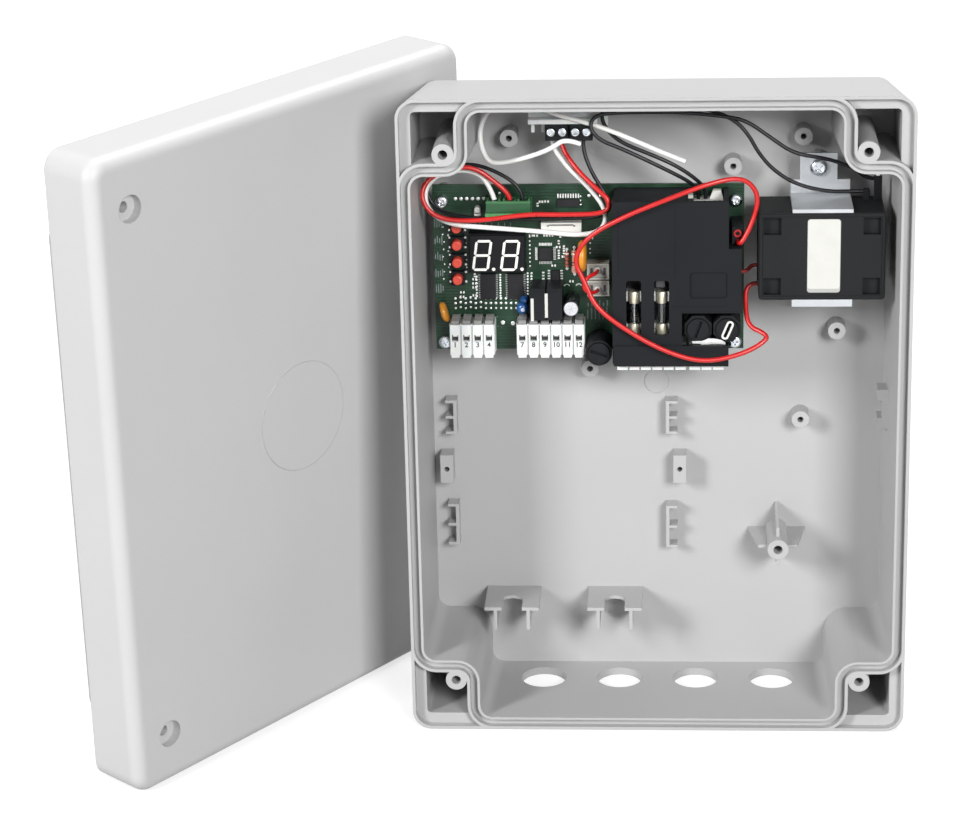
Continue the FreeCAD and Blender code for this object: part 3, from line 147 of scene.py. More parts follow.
def surface(name, colour, rough, spread=0.06, grain=1900, bump=0.06, cloud=160, metal=0.0, edge=0.0,
            coat=0.0, stretch=None, subsurface=0.0, shine=0.5):
    """A moulded, plated or painted surface: fine grain, slow clouding, uneven gloss and soft edges."""
    made, tree, shader = material(name)
    fine = noise(tree, grain, 4.0, 0.6, stretch)
    slow = noise(tree, cloud)
    mixed = blend_colour(tree, span(tree, slow, 0.0, 1.0, 0.25, 0.75),
                         tint(colour, 1 - spread), tint(colour, 1 + spread / 2))
    mixed = blend_colour(tree, span(tree, fine, 0.0, 0.35, 0.35, 0.75), mixed, tint(colour, 1 - 1.6 * spread))
    relief = node(tree, "ShaderNodeBump", {"Strength": bump, "Distance": 0.0002, "Height": fine})
    if edge:
        rounded = node(tree, "ShaderNodeBevel", {"Radius": edge}, samples=4)
        fill(tree, relief, {"Normal": rounded.outputs["Normal"]})
    if subsurface:
        fill(tree, shader, {"Subsurface Weight": subsurface, "Subsurface Scale": 0.001})
    fill(tree, shader, {"Metallic": metal, "Coat Weight": coat, "Specular IOR Level": shine,
                        "Base Color": mixed, "Roughness": span(tree, slow, rough - 0.06, rough + 0.06),
                        "Normal": relief.outputs["Normal"]})
    return made


def glass_surface():
    made, tree, shader = material("fuse_tube_glass")
    smear = noise(tree, 300.0)
    fill(tree, shader, {"Transmission Weight": 1.0, "IOR": 1.47, "Roughness": span(tree, smear, 0.02, 0.10),
                        "Base Color": blend_colour(tree, smear, (0.90, 0.95, 0.94), (0.98, 0.99, 0.99))})
    return made


def board_surface():
    """Solder mask: dark green with the paler tracks and flooded areas of copper under it."""
    made, tree, shader = material("solder_mask")
    place = node(tree, "ShaderNodeTexCoord", {}).outputs["Object"]
    turn = node(tree, "ShaderNodeMapping", {"Rotation": (math.radians(90), 0, 0), "Vector": place})
    tracks = node(tree, "ShaderNodeTexBrick",
                  {"Vector": turn.outputs["Vector"], "Scale": 300.0, "Mortar Size": 0.09, "Brick Width": 2.6,
                   "Row Height": 0.42}, offset=0.5)
    region = span(tree, noise(tree, 60.0, 2.0), 0.0, 1.0, 0.47, 0.53)
    flood = blend_colour(tree, region, (0.006, 0.024, 0.012), (0.010, 0.036, 0.018))
    keep = combine(tree, "MULTIPLY", tracks.outputs["Fac"],
                  span(tree, noise(tree, 90.0, 2.0), 0.0, 0.8, 0.45, 0.55))
    relief = node(tree, "ShaderNodeBump", {"Strength": 0.25, "Distance": 0.0001, "Height": keep})
    fill(tree, shader, {"Specular IOR Level": 0.3, "Normal": relief.outputs["Normal"],
                        "Base Color": blend_colour(tree, keep, flood, (0.016, 0.052, 0.027)),
                        "Roughness": span(tree, noise(tree, 200.0), 0.30, 0.42)})
    return made


MATT = 0.12    # sheen of the black mouldings, which stay deep black under the lamps
LOOKS = {
    # The case has a darker grey than the lid, though both are one plastic: the difference is painted shade.
    "case": surface("case_moulding", (0.425, 0.43, 0.425), 0.47, 0.035, 1500, 0.05, 14, edge=0.0004),
    "lid": surface("lid_moulding", (0.53, 0.535, 0.53), 0.45, 0.035, 900, 0.10, 9.0, edge=0.0006),
    "seal": surface("seal_rubber", (0.40, 0.40, 0.40), 0.65, 0.10, 700, 0.1, 25),
    "board": board_surface(),
    "zinc": surface("zinc_plate", (0.72, 0.76, 0.80), 0.24, 0.12, 1400, 0.12, 200, metal=1.0, edge=0.0001),
    "strap": surface("strap_plate", (0.52, 0.54, 0.56), 0.42, 0.10, 1200, 0.15, 60, metal=0.45, edge=0.0003,
                     stretch=(1.0, 6.0, 1.0)),
    "nickel": surface("nickel_cap", (0.84, 0.80, 0.64), 0.34, 0.12, 1600, 0.06, 300, metal=0.7, edge=0.0002),
    "tin": surface("tinned_pad", (0.80, 0.81, 0.80), 0.28, 0.15, 2500, 0.2, 600, metal=0.75),
    "tin_dim": surface("leg_dull", (0.42, 0.44, 0.42), 0.40, 0.15, 2500, 0.2, 600, metal=0.4),
    "solder": surface("solder_bright", (0.86, 0.87, 0.86), 0.30, 0.12, 2500, 0.2, 600, metal=0.45),
    "copper": surface("copper_core", (0.75, 0.40, 0.22), 0.35, 0.15, 3000, 0.3, 900, metal=1.0),
    "cover": surface("cover_moulding", (0.011, 0.012, 0.014), 0.58, 0.18, 1500, 0.14, 30, edge=0.0004,
                     shine=MATT),
    "trafo": surface("resin_moulding", (0.014, 0.015, 0.016), 0.56, 0.20, 1100, 0.20, 40, edge=0.0004,
                     shine=MATT),
    "putty": surface("connector_putty", (0.42, 0.42, 0.38), 0.42, 0.07, 1900, 0.08, 160, edge=0.0002),
    "clay": surface("small_part_clay", (0.38, 0.30, 0.20), 0.45, 0.15, 2600, 0.1, 500),
    "label": surface("blank_label", (0.60, 0.60, 0.565), 0.40, 0.05, 2200, 0.03, 120),
    "label_edge": surface("label_border", (0.42, 0.42, 0.40), 0.45, 0.08, 700, 0.1, 25),
    "black": surface("black_plastic", (0.013, 0.014, 0.016), 0.50, 0.2, 1800, 0.08, 90, edge=0.0002,
                     shine=MATT),
    "chip": surface("chip_epoxy", (0.022, 0.022, 0.024), 0.58, 0.2, 2600, 0.16, 300, edge=0.0001,
                    shine=MATT),
    "glass_black": surface("display_face", (0.010, 0.010, 0.012), 0.40, 0.2, 900, 0.02, 60, edge=0.0003,
                           shine=MATT),
    "segment": surface("segment_white", (0.84, 0.85, 0.80), 0.35, 0.03, 2600, 0.02, 300),
    "white": surface("terminal_white", (0.76, 0.78, 0.77), 0.38, 0.03, 1900, 0.05, 140, edge=0.0003,
                     subsurface=0.15),
    "ivory": surface("connector_ivory", (0.66, 0.66, 0.62), 0.42, 0.06, edge=0.0002),
    "grey": surface("connector_grey", (0.30, 0.30, 0.28), 0.42, 0.08, 1900, 0.08, 160, edge=0.0002),
    "lever": surface("lever_grey", (0.25, 0.25, 0.245), 0.42, 0.10, 1900, 0.08, 160, edge=0.0002),
    "green": surface("plug_green", (0.014, 0.075, 0.026), 0.36, 0.10, edge=0.0002),
    "green_mid": surface("plug_green_ridge_highlight", (0.040, 0.150, 0.056), 0.36, 0.10),
    "smoke": surface("smoky_grey", (0.060, 0.062, 0.066), 0.40, 0.15, 1500, 0.05, 120),
    "lilac": surface("painted_glint_lilac", (0.55, 0.60, 0.78), 0.30, 0.06, 1500, 0.05, 120),
    "ink_faint": surface("print_faint", (0.16, 0.20, 0.19), 0.5, 0.15, 2600, 0.02, 300),
    "green_light": surface("plug_green_light", (0.085, 0.260, 0.105), 0.36, 0.08),
    "red_cap": surface("button_red", (0.72, 0.075, 0.045), 0.36, 0.08, 1900, 0.06, 200),
    "red_wire": surface("wire_red", (0.56, 0.012, 0.012), 0.32, 0.08, 1600, 0.06, 180),
    "white_wire": surface("wire_white", (0.82, 0.82, 0.80), 0.34, 0.03, 1600, 0.06, 180, subsurface=0.1),
    "black_wire": surface("wire_black", (0.010, 0.010, 0.012), 0.36, 0.2, 1600, 0.06, 180, shine=0.3),
    "can": surface("can_aluminium", (0.64, 0.65, 0.68), 0.36, 0.08, 2600, 0.12, 300, metal=0.9),
    "sleeve": surface("can_sleeve", (0.020, 0.022, 0.026), 0.26, 0.15, 1400, 0.03, 90),
    "orange": surface("orange_ceramic", (0.66, 0.26, 0.022), 0.28, 0.14, 1300, 0.14, 200),
    "blue": surface("blue_drop", (0.012, 0.090, 0.300), 0.22, 0.14, 1300, 0.10, 200, coat=0.4),
    "pink": surface("resistor_body", (0.64, 0.32, 0.25), 0.34, 0.12, 1500, 0.10, 250),
    "rust": surface("diode_glass", (0.38, 0.07, 0.03), 0.15, 0.2, 1500, 0.04, 250, coat=0.5),
    "ink": surface("print_white", (0.70, 0.72, 0.68), 0.5, 0.05, 2600, 0.02, 300),
    # Black print, and also the painted shade put in the openings and slots of plugs, header and terminals.
    "dark_print_and_shade": surface("print_and_painted_shade_black", (0.03, 0.03, 0.03), 0.5, 0.1, 2600, 0.02, 300),
    "glass": glass_surface(),
}

NODE_LOOKS = {
    "enclosure_base": "case", "lid": "lid", "lid_seal": "seal", "control_board": "board", "fixing_screws": "zinc",
    "display_module": "glass_black", "switch_bodies": "black", "power_cover": "cover", "power_terminals": "white",
    "input_terminals": "white", "output_terminals": "white", "fuse_glass": "glass", "fuse_end_caps": "nickel",
    "fuse_clips": "tin", "fuse_link_bar": "solder", "fuse_sockets": "black", "fuse_cap_board": "black",
    "fuse_cap_1": "black", "fuse_cap_2": "black", "relays": "black", "board_chips": "chip",
    "filter_capacitor": "can", "leaded_parts": "orange", "board_headers": "ivory", "signal_plug": "green",
    "accessory_plugs": "grey", "accessory_tab_block": "black", "mains_plug": "ivory", "transformer_body": "trafo",
    "transformer_pins": "tin", "transformer_strap": "strap", "terminal_strip": "black", "strip_screws": "zinc",
    "strip_bracket": "white", "lever": "lever", "button": "red_cap",
}


def wire_look(name):
    """A wire's name begins with its colour."""
    return name.split("_")[0] + "_wire"


for name, thing in nodes.items():
    look = NODE_LOOKS.get(name) or NODE_LOOKS.get(name.split("_")[0]) or wire_look(name)
    thing.data.materials.clear()
    thing.data.materials.append(LOOKS[look])


# ---- solid pieces, built in the box frame ----
SHARP_ANGLE = math.radians(40)    # a steeper edge is shaded sharp
BEVEL_ANGLE = math.radians(35)    # a steeper edge is rounded, where a piece asks for it


def circle(a, b, radius, sides):
    """Points round (a, b), anticlockwise."""
    return [(a + radius * math.cos(math.tau * i / sides), b + radius * math.sin(math.tau * i / sides))
            for i in range(sides)]


def turned(points, angle):
    """Points turned clockwise, as the photograph shows them, by an angle in degrees."""
    c, s = math.cos(math.radians(angle)), math.sin(math.radians(angle))
    return [(a * c + b * s, -a * s + b * c) for a, b in points]


class Shape:
    """Collects closed forms in millimetres of the box frame and makes one object of them."""

    def __init__(self):
        self.mesh = bmesh.new()

    def ring(self, points):
        return [self.mesh.verts.new(p) for p in points]

    def skin(self, rings, ends=True):
        """Walls from ring to ring, and a lid on each end."""
        for near, far in zip(rings, rings[1:]):
            for i in range(len(near)):
                j = (i + 1) % len(near)
                self.mesh.faces.new([near[i], near[j], far[j], far[i]])
        if ends:
            self.mesh.faces.new(list(reversed(rings[0])))
            self.mesh.faces.new(rings[-1])

    def loop(self, rings):
        """A skin that closes on its first ring, as a tube's wall does."""
        self.skin(rings + rings[:1], ends=False)

    def block(self, x0, x1, y0, y1, z0, z1):
        self.outline([(x0, z0), (x1, z0), (x1, z1), (x0, z1)], y0, y1)

    def frame(self, x0, x1, y0, y1, z0, z1, rail, side):
        """Two rails and two sides round an opening."""
        self.block(x0, x1, y0, y1, z1 - rail, z1)
        self.block(x0, x1, y0, y1, z0, z0 + rail)
        self.block(x0, x0 + side, y0, y1, z0 + rail, z1 - rail)
        self.block(x1 - side, x1, y0, y1, z0 + rail, z1 - rail)

    def outline(self, corners, y0, y1):
        """An outline of (x, z) corners, straight along Y."""
        self.skin([self.ring([(x, y, z) for x, z in corners]) for y in (y0, y1)])

    def spun_rings(self, x, z, profile, sides):
        return [self.ring([(a, y, b) for a, b in circle(x, z, radius, sides)]) for radius, y in profile]

    def spin(self, x, z, profile, sides=32):
        """Turned about an axis along Y: profile is (radius, y) from one end to the other."""
        self.skin(self.spun_rings(x, z, profile, sides))

    def turn_up(self, x, y, profile, sides=32):
        """Turned about an upright axis: profile is (radius, z)."""
        self.skin([self.ring([(a, b, z) for a, b in circle(x, y, radius, sides)]) for radius, z in profile])

    def turn_side(self, y, z, profile, sides=32):
        """Turned about an axis along X: profile is (radius, x)."""
        self.skin([self.ring([(x, a, b) for a, b in circle(y, z, radius, sides)]) for radius, x in profile])

    def make(self, name, look, slot, body="case", edge=0.0, stands_for=()):
        """Ends the shape: one object with its look and the body it rides on; the colour slot is not used."""
        bmesh.ops.recalc_face_normals(self.mesh, faces=self.mesh.faces)
        data = bpy.data.meshes.new(name)
        for vert in self.mesh.verts:
            vert.co = spot(*vert.co)
        self.mesh.to_mesh(data)
        self.mesh.free()
        return finish_piece(name, data, look, body, edge, stands_for)


def finish_piece(name, data, look, body="case", edge=0.0, stands_for=()):
    for face in data.polygons:
        face.use_smooth = True
    data.set_sharp_from_angle(angle=SHARP_ANGLE)
    data.materials.append(LOOKS[look])
    piece = new_object(name, data)
    if edge:
        soft = piece.modifiers.new("soft_edges", "BEVEL")
        soft.width = edge / 1000
        soft.segments = 2
        soft.limit_method = "ANGLE"
        soft.angle_limit = BEVEL_ANGLE
        soft.harden_normals = True
    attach(piece, body)
    if stands_for:
        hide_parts(*stands_for)
    return piece


# ---- wires ----
STRAND_RADIUS = 0.17
# Diameter in millimetres, length along the curve in metres and kind of far end (both None for a wire too
# short to be a cord), and route in the box frame
WIRES = {
    "white_wire_spare": (2.1, 0.086, "bare", [
        (-55.12, 43.0, 275.4), (-60.4, 43.0, 275.4), (-68.0, 41.0, 278.8), (-74.2, 36.4, 275.4),
        (-76.6, 30.6, 266.6), (-73.0, 26.4, 256.4), (-66.0, 24.0, 256.4), (-54.0, 22.6, 259.6),
        (-44.6, 22.4, 263.2), (-38.6, 22.8, 267.6), (-32.2, 23.4, 264.8)]),
    "white_wire_link": (2.1, 0.098, "bare", [
        (-55.12, 52.0, 274.6), (-59.6, 52.0, 274.6), (-63.6, 47.0, 280.0), (-58.6, 39.2, 280.2),
        (-50.0, 33.4, 278.2), (-40.0, 29.0, 275.8), (-26.5, 27.6, 272.4), (-13.0, 26.6, 267.4),
        (1.0, 25.6, 261.2), (12.8, 26.2, 256.2)]),
    "red_wire_signal": (2.1, 0.176, "object", [
        (-41.0, 36.0, 264.78), (-41.0, 35.4, 260.8), (-34.4, 29.0, 252.4), (-25.4, 24.4, 244.6),
        (-19.9, 22.6, 240.3), (-20.8, 22.0, 234.2), (-40.0, 22.4, 233.7), (-56.0, 22.8, 234.0),
        (-78.0, 22.8, 230.8), (-95.0, 22.6, 232.0), (-101.9, 23.4, 240.0), (-100.2, 26.0, 248.2),
        (-90.6, 28.6, 253.0), (-79.0, 29.0, 254.0), (-69.0, 29.2, 246.4), (-63.6, 29.5, 241.0),
        (-63.5, 29.5, 238.92)]),
    "white_wire_signal": (2.1, 0.176, "object", [
        (-45.0, 38.0, 264.78), (-45.0, 37.4, 260.4), (-38.6, 33.0, 252.6), (-28.0, 29.6, 243.2),
        (-21.4, 26.6, 234.6), (-22.4, 24.0, 226.6), (-32.0, 22.6, 224.2), (-50.0, 22.2, 226.4),
        (-74.0, 23.4, 228.0), (-90.0, 25.2, 228.8), (-99.4, 28.4, 234.2), (-101.0, 31.4, 242.4),
        (-96.2, 33.6, 248.6), (-86.0, 33.6, 251.4), (-76.8, 31.8, 250.4), (-71.6, 29.8, 243.6),
        (-70.2, 29.5, 238.92)]),
    "black_wire_signal": (1.7, 0.176, "object", [
        (-31.0, 38.0, 264.78), (-32.0, 37.4, 260.6), (-28.4, 35.0, 250.4), (-22.6, 33.0, 241.4),
        (-19.0, 31.4, 235.2), (-23.4, 30.0, 230.6), (-40.0, 28.2, 230.4), (-64.0, 27.6, 230.5),
        (-83.0, 30.6, 230.4), (-96.4, 33.4, 233.2), (-101.4, 35.4, 243.2), (-96.0, 35.8, 251.4),
        (-80.0, 33.4, 254.6), (-66.4, 30.4, 250.0), (-58.4, 29.5, 243.6), (-57.8, 29.5, 238.92)]),
    "black_wire_mains_a": (1.7, 0.196, "object", [
        (18.6, 32.6, 238.02), (18.6, 32.6, 242.0), (14.4, 28.8, 246.8), (5.0, 26.4, 252.4),
        (-6.0, 25.2, 258.2), (-15.5, 24.8, 262.8), (-23.6, 24.8, 266.0), (-28.4, 25.4, 271.2),
        (-26.4, 26.8, 276.4), (-18.6, 28.2, 277.4), (-6.0, 29.2, 277.4), (12.0, 29.2, 277.2),
        (27.0, 29.2, 275.6), (38.6, 29.2, 273.8), (50.0, 29.4, 265.4), (60.0, 30.2, 258.2),
        (74.0, 32.0, 255.8), (86.0, 34.8, 250.8), (91.4, 37.6, 245.4), (95.58, 38.0, 245.2)]),
    "black_wire_mains_b": (1.7, 0.195, "object", [
        (21.8, 32.6, 238.02), (21.8, 32.6, 242.4), (17.4, 30.2, 247.6), (9.0, 28.6, 253.8),
        (-1.6, 28.2, 258.8), (-13.0, 28.8, 263.2), (-19.6, 30.2, 267.6), (-23.4, 32.0, 273.6),
        (-22.4, 34.4, 279.2), (-12.0, 36.6, 281.0), (0.5, 35.4, 280.6), (12.0, 33.2, 279.2),
        (24.0, 31.8, 277.6), (34.6, 31.0, 273.0), (40.4, 30.6, 266.4), (44.0, 30.6, 259.4),
        (50.0, 31.0, 251.8), (60.0, 31.8, 244.6), (74.0, 34.4, 240.4), (86.0, 38.0, 239.6),
        (90.68, 38.0, 239.6)]),
    "red_wire_loop": (2.1, 0.258, "object", [
        (44.38, 26.0, 201.5), (39.4, 26.0, 201.5), (39.0, 21.6, 192.4), (40.2, 17.0, 184.6),
        (47.4, 13.0, 182.6), (48.4, 11.0, 180.2), (38.0, 7.8, 174.8), (21.0, 5.7, 171.6),
        (5.0, 5.9, 176.2), (-11.0, 7.4, 184.6), (-26.0, 10.2, 195.2), (-30.6, 12.2, 206.4),
        (-35.6, 13.2, 216.0), (-29.2, 11.8, 227.0), (-12.5, 9.4, 236.6), (6.0, 8.6, 244.2),
        (24.0, 10.8, 250.6), (37.4, 14.8, 252.0), (44.0, 16.4, 245.0), (43.4, 16.6, 236.4),
        (39.6, 15.6, 227.0), (36.0, 14.2, 221.6), (35.4, 18.98, 222.6)]),
    "red_wire_short": (1.7, None, None, [
        (37.22, 32.0, 205.2), (39.8, 32.0, 205.2), (41.8, 33.0, 208.0), (44.38, 33.0, 208.0)]),
    "red_wire_link": (1.7, None, None, [
        (-25.6, 29.98, 206.4), (-25.6, 26.4, 206.4), (-30.0, 22.4, 205.4), (-31.6, 21.2, 201.8),
        (-30.0, 22.4, 198.6), (-25.6, 26.4, 197.6), (-25.6, 29.98, 197.6)]),
}


def wire(name):
    """One insulated wire on a smooth curve through its route."""
    thick, _, _, route = WIRES[name]
    data = bpy.data.curves.new(name, "CURVE")
    data.dimensions = "3D"
    line = data.splines.new("NURBS")
    line.points.add(len(route) - 1)
    for point, place in zip(line.points, route):
        point.co = (*spot(*place), 1.0)
    line.order_u = 3
    line.use_endpoint_u = True
    data.resolution_u = 10
    data.bevel_depth = thick / 2000
    data.bevel_resolution = 4
    data.use_fill_caps = True
    data.materials.append(LOOKS[wire_look(name)])
    piece = new_object(name + "_insulation", data)
    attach(piece, "case")
    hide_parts(name)
    return piece


def bare_end(name):
    """The cut strands at the free end of a wire: one in the middle and six round it."""
    before, tip = (Vector(place) for place in WIRES[name][-1][-2:])
    along = (tip - before).normalized()
    side = along.cross(Vector((0, 1, 0))).normalized()
    up = along.cross(side)
    shape = Shape()
    for i in range(7):
        reach = 0 if i == 0 else 0.3
        centre = tip + (side * math.cos(i) + up * math.sin(i)) * reach - along * 0.4
        rings = []
        for step in (0.0, 0.4 + 0.05 * (i % 3)):
            rings.append(shape.ring([centre + along * step + side * a + up * b
                                     for a, b in circle(0, 0, STRAND_RADIUS, 8)]))
        shape.skin(rings)
    return shape.make(name + "_strands", "copper", wire_look(name))


for name, (thick, length, end, route) in WIRES.items():
    piece = wire(name)
    if length:
        with_pieces = [bare_end(name)] if end == "bare" else []


# ---- finer pieces ----
BOARD_Y = 38.0    # front face of the board
BUTTON_X, BUTTON_Z, BUTTON_STEP = -87.4, 201.85, 7.85
TERMINAL_ROWS = ((1, -91.1, 4), (7, -61.4, 6))    # first number, left end, count
TERMINAL_STEP = 5.0
RESISTOR, DIODE = (-35.9, 36.7), (-39.2, 37.1)    # X and Y of their upright axes
FUSES_X, FUSE_Y = (-9.5, 2.6), 18.4
STRIP_SCREWS = ((-45.2, 38), (-40.2, -24), (-34.6, 62), (-29.7, 12))    # X, and how far each is turned


def slot_corners(half, reach, angle):
    """A driver slot, turned from upright."""
    return turned([(-half, -reach), (half, -reach), (half, reach), (-half, reach)], angle)


def cross_corners(half, reach, angle):
    """A cross recess."""
    arm = [(reach, -half), (reach, half), (half, half)]
    return [corner for quarter in range(4) for corner in turned(arm, -angle - 90 * quarter)]


def driven(shape, x, z, profile, recess, depth, sides=36):
    """A screw: its outside turned about Y, with a driver recess sunk in its front."""
    rings = shape.spun_rings(x, z, profile, sides)
    shape.skin(rings, ends=False)
    shape.mesh.faces.new(rings[0])
    front, taper = profile[-1][1], 0.8
    mouth = shape.ring([(x + a, front, z + b) for a, b in recess])
    bottom = shape.ring([(x + a * taper, front + depth, z + b * taper) for a, b in recess])
    edges = []
    for loop in (rings[-1], mouth):
        for a, b in zip(loop, loop[1:] + loop[:1]):
            edges.append(shape.mesh.edges.get((a, b)) or shape.mesh.edges.new((a, b)))
    bmesh.ops.triangle_fill(shape.mesh, edges=edges, use_beauty=True, normal=(0, -1, 0))
    shape.skin([mouth, bottom], ends=False)
    shape.mesh.faces.new(bottom)


def pan_heads():
    """The zinc cross-head screws of the board and of the transformer's strap."""
    shape = Shape()
    places = [(-94.0, 171.6, 20), (-94.0, 236.0, 48), (34.8, 171.6, 5), (34.8, 236.0, 66)]
    screws = [(x, z, turn, 37.98, 3.0, 2.0, 10.0) for x, z, turn in places]
    screws += [(71.0, 190.2, 12, 43.38, 3.9, 2.4, 9.0), (71.0, 249.2, 40, 43.38, 3.9, 2.4, 9.0)]
    for x, z, turn, seat, head, height, length in screws:
        profile = [(0.7, seat + length), (1.2, seat + length - 1), (1.2, seat), (head, seat),
                   (head, seat - height * 0.35), (head * 0.94, seat - height * 0.62),
                   (head * 0.80, seat - height * 0.84), (head * 0.62, seat - height)]
        driven(shape, x, z, profile, cross_corners(head * 0.12, head * 0.5, turn), height * 0.6)
    shape.make("cross_head_screws", "zinc", "zinc_screws", stands_for=["fixing_screws"])


def strip_heads():
    """The slotted clamp screws of the top terminal strip, as they were left by the driver."""
    shape = Shape()
    for x, turn in STRIP_SCREWS:
        driven(shape, x, 268.7, [(1.9, 35.0), (1.9, 29.3), (1.78, 28.95), (1.55, 28.8)],
               slot_corners(0.28, 1.25, turn), 0.8, 28)
    shape.make("slotted_clamp_screws", "zinc", "zinc_screws", stands_for=["strip_screws"])


def buttons():
    """The round caps on their bodies, and the studs and legs of the housings behind them."""
    for i in range(4):
        z = BUTTON_Z + BUTTON_STEP * (3 - i)
        shape = Shape()
        shape.spin(BUTTON_X, z, [(2.2, 36.0), (2.2, 31.35), (2.1, 31.0), (1.85, 30.82), (1.2, 30.8), (0.7, 30.92)])
        shape.make(f"button_cap_{i + 1}", "red_cap", "button_red", f"button_{i + 1}_body",
                   stands_for=[f"button_{i + 1}"])
    studs, legs = Shape(), Shape()
    for i in range(4):
        z = BUTTON_Z + BUTTON_STEP * i
        for sx in (-1, 1):
            for sz in (-1, 1):
                studs.spin(BUTTON_X + 2.35 * sx, z + 2.35 * sz, [(0.42, 34.6), (0.42, 34.25), (0.25, 34.15)], 12)
                legs.block(BUTTON_X + 3.0 * sx, BUTTON_X + 3.9 * sx, 37.1, BOARD_Y,
                           z + 2.2 * sz - 0.4, z + 2.2 * sz + 0.4)
    studs.make("switch_studs", "black", "black_plastic")
    legs.make("switch_legs", "tin", "clip_metal")


def display():
    """Two slanted eights and their points on the display's face."""
    shape = Shape()
    width, gap, slant = 1.12, 0.14, 0.14
    left, right, low, middle, high = 0.0, 6.35, 0.0, 6.45, 12.9

    def bar(p, q, x0, z0):
        along = (Vector(q) - Vector(p)).normalized()
        across = Vector((-along.y, along.x)) * width / 2
        p, q = Vector(p) + along * gap, Vector(q) - along * gap
        inner = along * width / 2
        flat = [p, p + inner - across, q - inner - across, q, q - inner + across, p + inner + across]
        shape.outline([(x0 + v.x + slant * v.y, z0 + v.y) for v in flat], 29.94, 30.05)

    for x0, z0 in ((-80.2, 207.05), (-67.9, 207.0)):
        for p, q in (((left, low), (right, low)), ((left, middle), (right, middle)), ((left, high), (right, high)),
                     ((left, low), (left, middle)), ((left, middle), (left, high)),
                     ((right, low), (right, middle)), ((right, middle), (right, high))):
            bar(p, q, x0, z0)
    for x in (-71.2, -58.7):
        shape.spin(x, 207.2, [(0.75, 30.05), (0.75, 29.94)], 20)
    shape.make("display_segments", "segment", "terminal_white")


def chips():
    """The flat packages with their rows of soldered legs."""
    bodies, legs, bright = Shape(), Shape(), Shape()
    for x0, x1, z0, z1 in ((-77.6, -70.8, 191.6, 203.2), (-65.6, -58.5, 191.6, 203.2)):
        bodies.block(x0, x1, 36.3, 37.9, z0, z1)
        for i in range(11):
            z = z0 + 0.7 + (z1 - z0 - 1.4) * i / 10
            for x in (x0 - 0.9, x1 - 0.1):
                legs.block(x, x + 1.0, 37.35, BOARD_Y, z - 0.22, z + 0.22)
    for x0, x1, z0, z1 in ((-43.2, -33.4, 233.6, 236.9), (-51.4, -45.8, 209.4, 215.0),
                           (-46.0, -42.6, 200.2, 204.6)):
        bodies.block(x0, x1, 36.3, 37.9, z0, z1)
    for i in range(9):
        x = -42.8 + 9.0 * i / 8
        bright.block(x - 0.3, x + 0.3, 37.2, BOARD_Y, 237.5, 239.3)
        x, z = -51.2 + 5.2 * i / 8, 209.6 + 5.2 * i / 8
        bright.block(x - 0.22, x + 0.22, 37.2, BOARD_Y, 215.9, 217.1)
        bright.block(-53.2, -52.2, 37.2, BOARD_Y, z - 0.22, z + 0.22)
        legs.block(-45.2, -44.0, 37.2, BOARD_Y, z - 0.2, z + 0.2)
        legs.block(x - 0.2, x + 0.2, 37.2, BOARD_Y, 207.5, 208.7)
    for i in range(6):
        bright.block(-50.3, -49.2, 37.3, BOARD_Y, 196.2 + 1.4 * i, 196.8 + 1.4 * i)
    for i in range(4):
        for x in (-47.8, -42.2):
            bright.block(x, x + 1.1, 37.3, BOARD_Y, 200.5 + 1.2 * i, 201.0 + 1.2 * i)
    bodies.make("chip_bodies", "chip", "black_plastic", edge=0.12, stands_for=["board_chips"])
    legs.make("chip_legs", "tin_dim", "clip_metal")
    bright.make("chip_legs_bright", "solder", "clip_metal")


# X and Z limits of each patch of tiny parts
SMALL_AREAS = [(-56.0, -38.6, 219.6, 221.2), (-44.0, -39.4, 209.6, 218.4), (-46.4, -43.6, 205.6, 207.8),
               (-48.0, -42.0, 197.4, 199.2), (-81.6, -78.8, 192.2, 203.4), (-87.6, -84.2, 191.6, 197.4),
               (-55.0, -50.6, 233.4, 235.4), (-51.4, -46.6, 235.0, 236.6), (-43.0, -37.6, 195.6, 197.4),
               (-40.6, -36.2, 198.2, 200.8)]


def small_parts():
    """The tiny two-ended parts soldered between the larger ones."""
    dice = random.Random(11)
    ends, darks, pales = Shape(), Shape(), Shape()
    for x0, x1, z0, z1 in SMALL_AREAS:
        columns, rows = max(1, int((x1 - x0) / 2.1)), max(1, int((z1 - z0) / 1.8))
        for i in range(columns):
            for j in range(rows):
                if dice.random() < 0.18:
                    continue
                x = x0 + (x1 - x0) * (i + 0.5) / columns + dice.uniform(-0.15, 0.15)
                z = z0 + (z1 - z0) * (j + 0.5) / rows + dice.uniform(-0.1, 0.1)
                upright = dice.random() < 0.35
                hx, hz = (0.4, 0.72) if upright else (0.82, 0.4)
                body = pales if dice.random() < 0.14 else darks
                body.block(x - hx, x + hx, 37.45, BOARD_Y, z - hz, z + hz)
                for side in (-1, 1):
                    if upright:
                        ends.block(x - hx - 0.06, x + hx + 0.06, 37.35, BOARD_Y,
                                   z + side * hz * 0.34, z + side * (hz + 0.16))
                    else:
                        ends.block(x + side * hx * 0.34, x + side * (hx + 0.16), 37.35, BOARD_Y,
                                   z - hz - 0.06, z + hz + 0.06)
    ends.make("small_part_ends", "solder", "clip_metal")
    darks.make("small_parts_dark", "chip", "black_plastic")
    pales.make("small_parts_pale", "clay", "connector_grey")


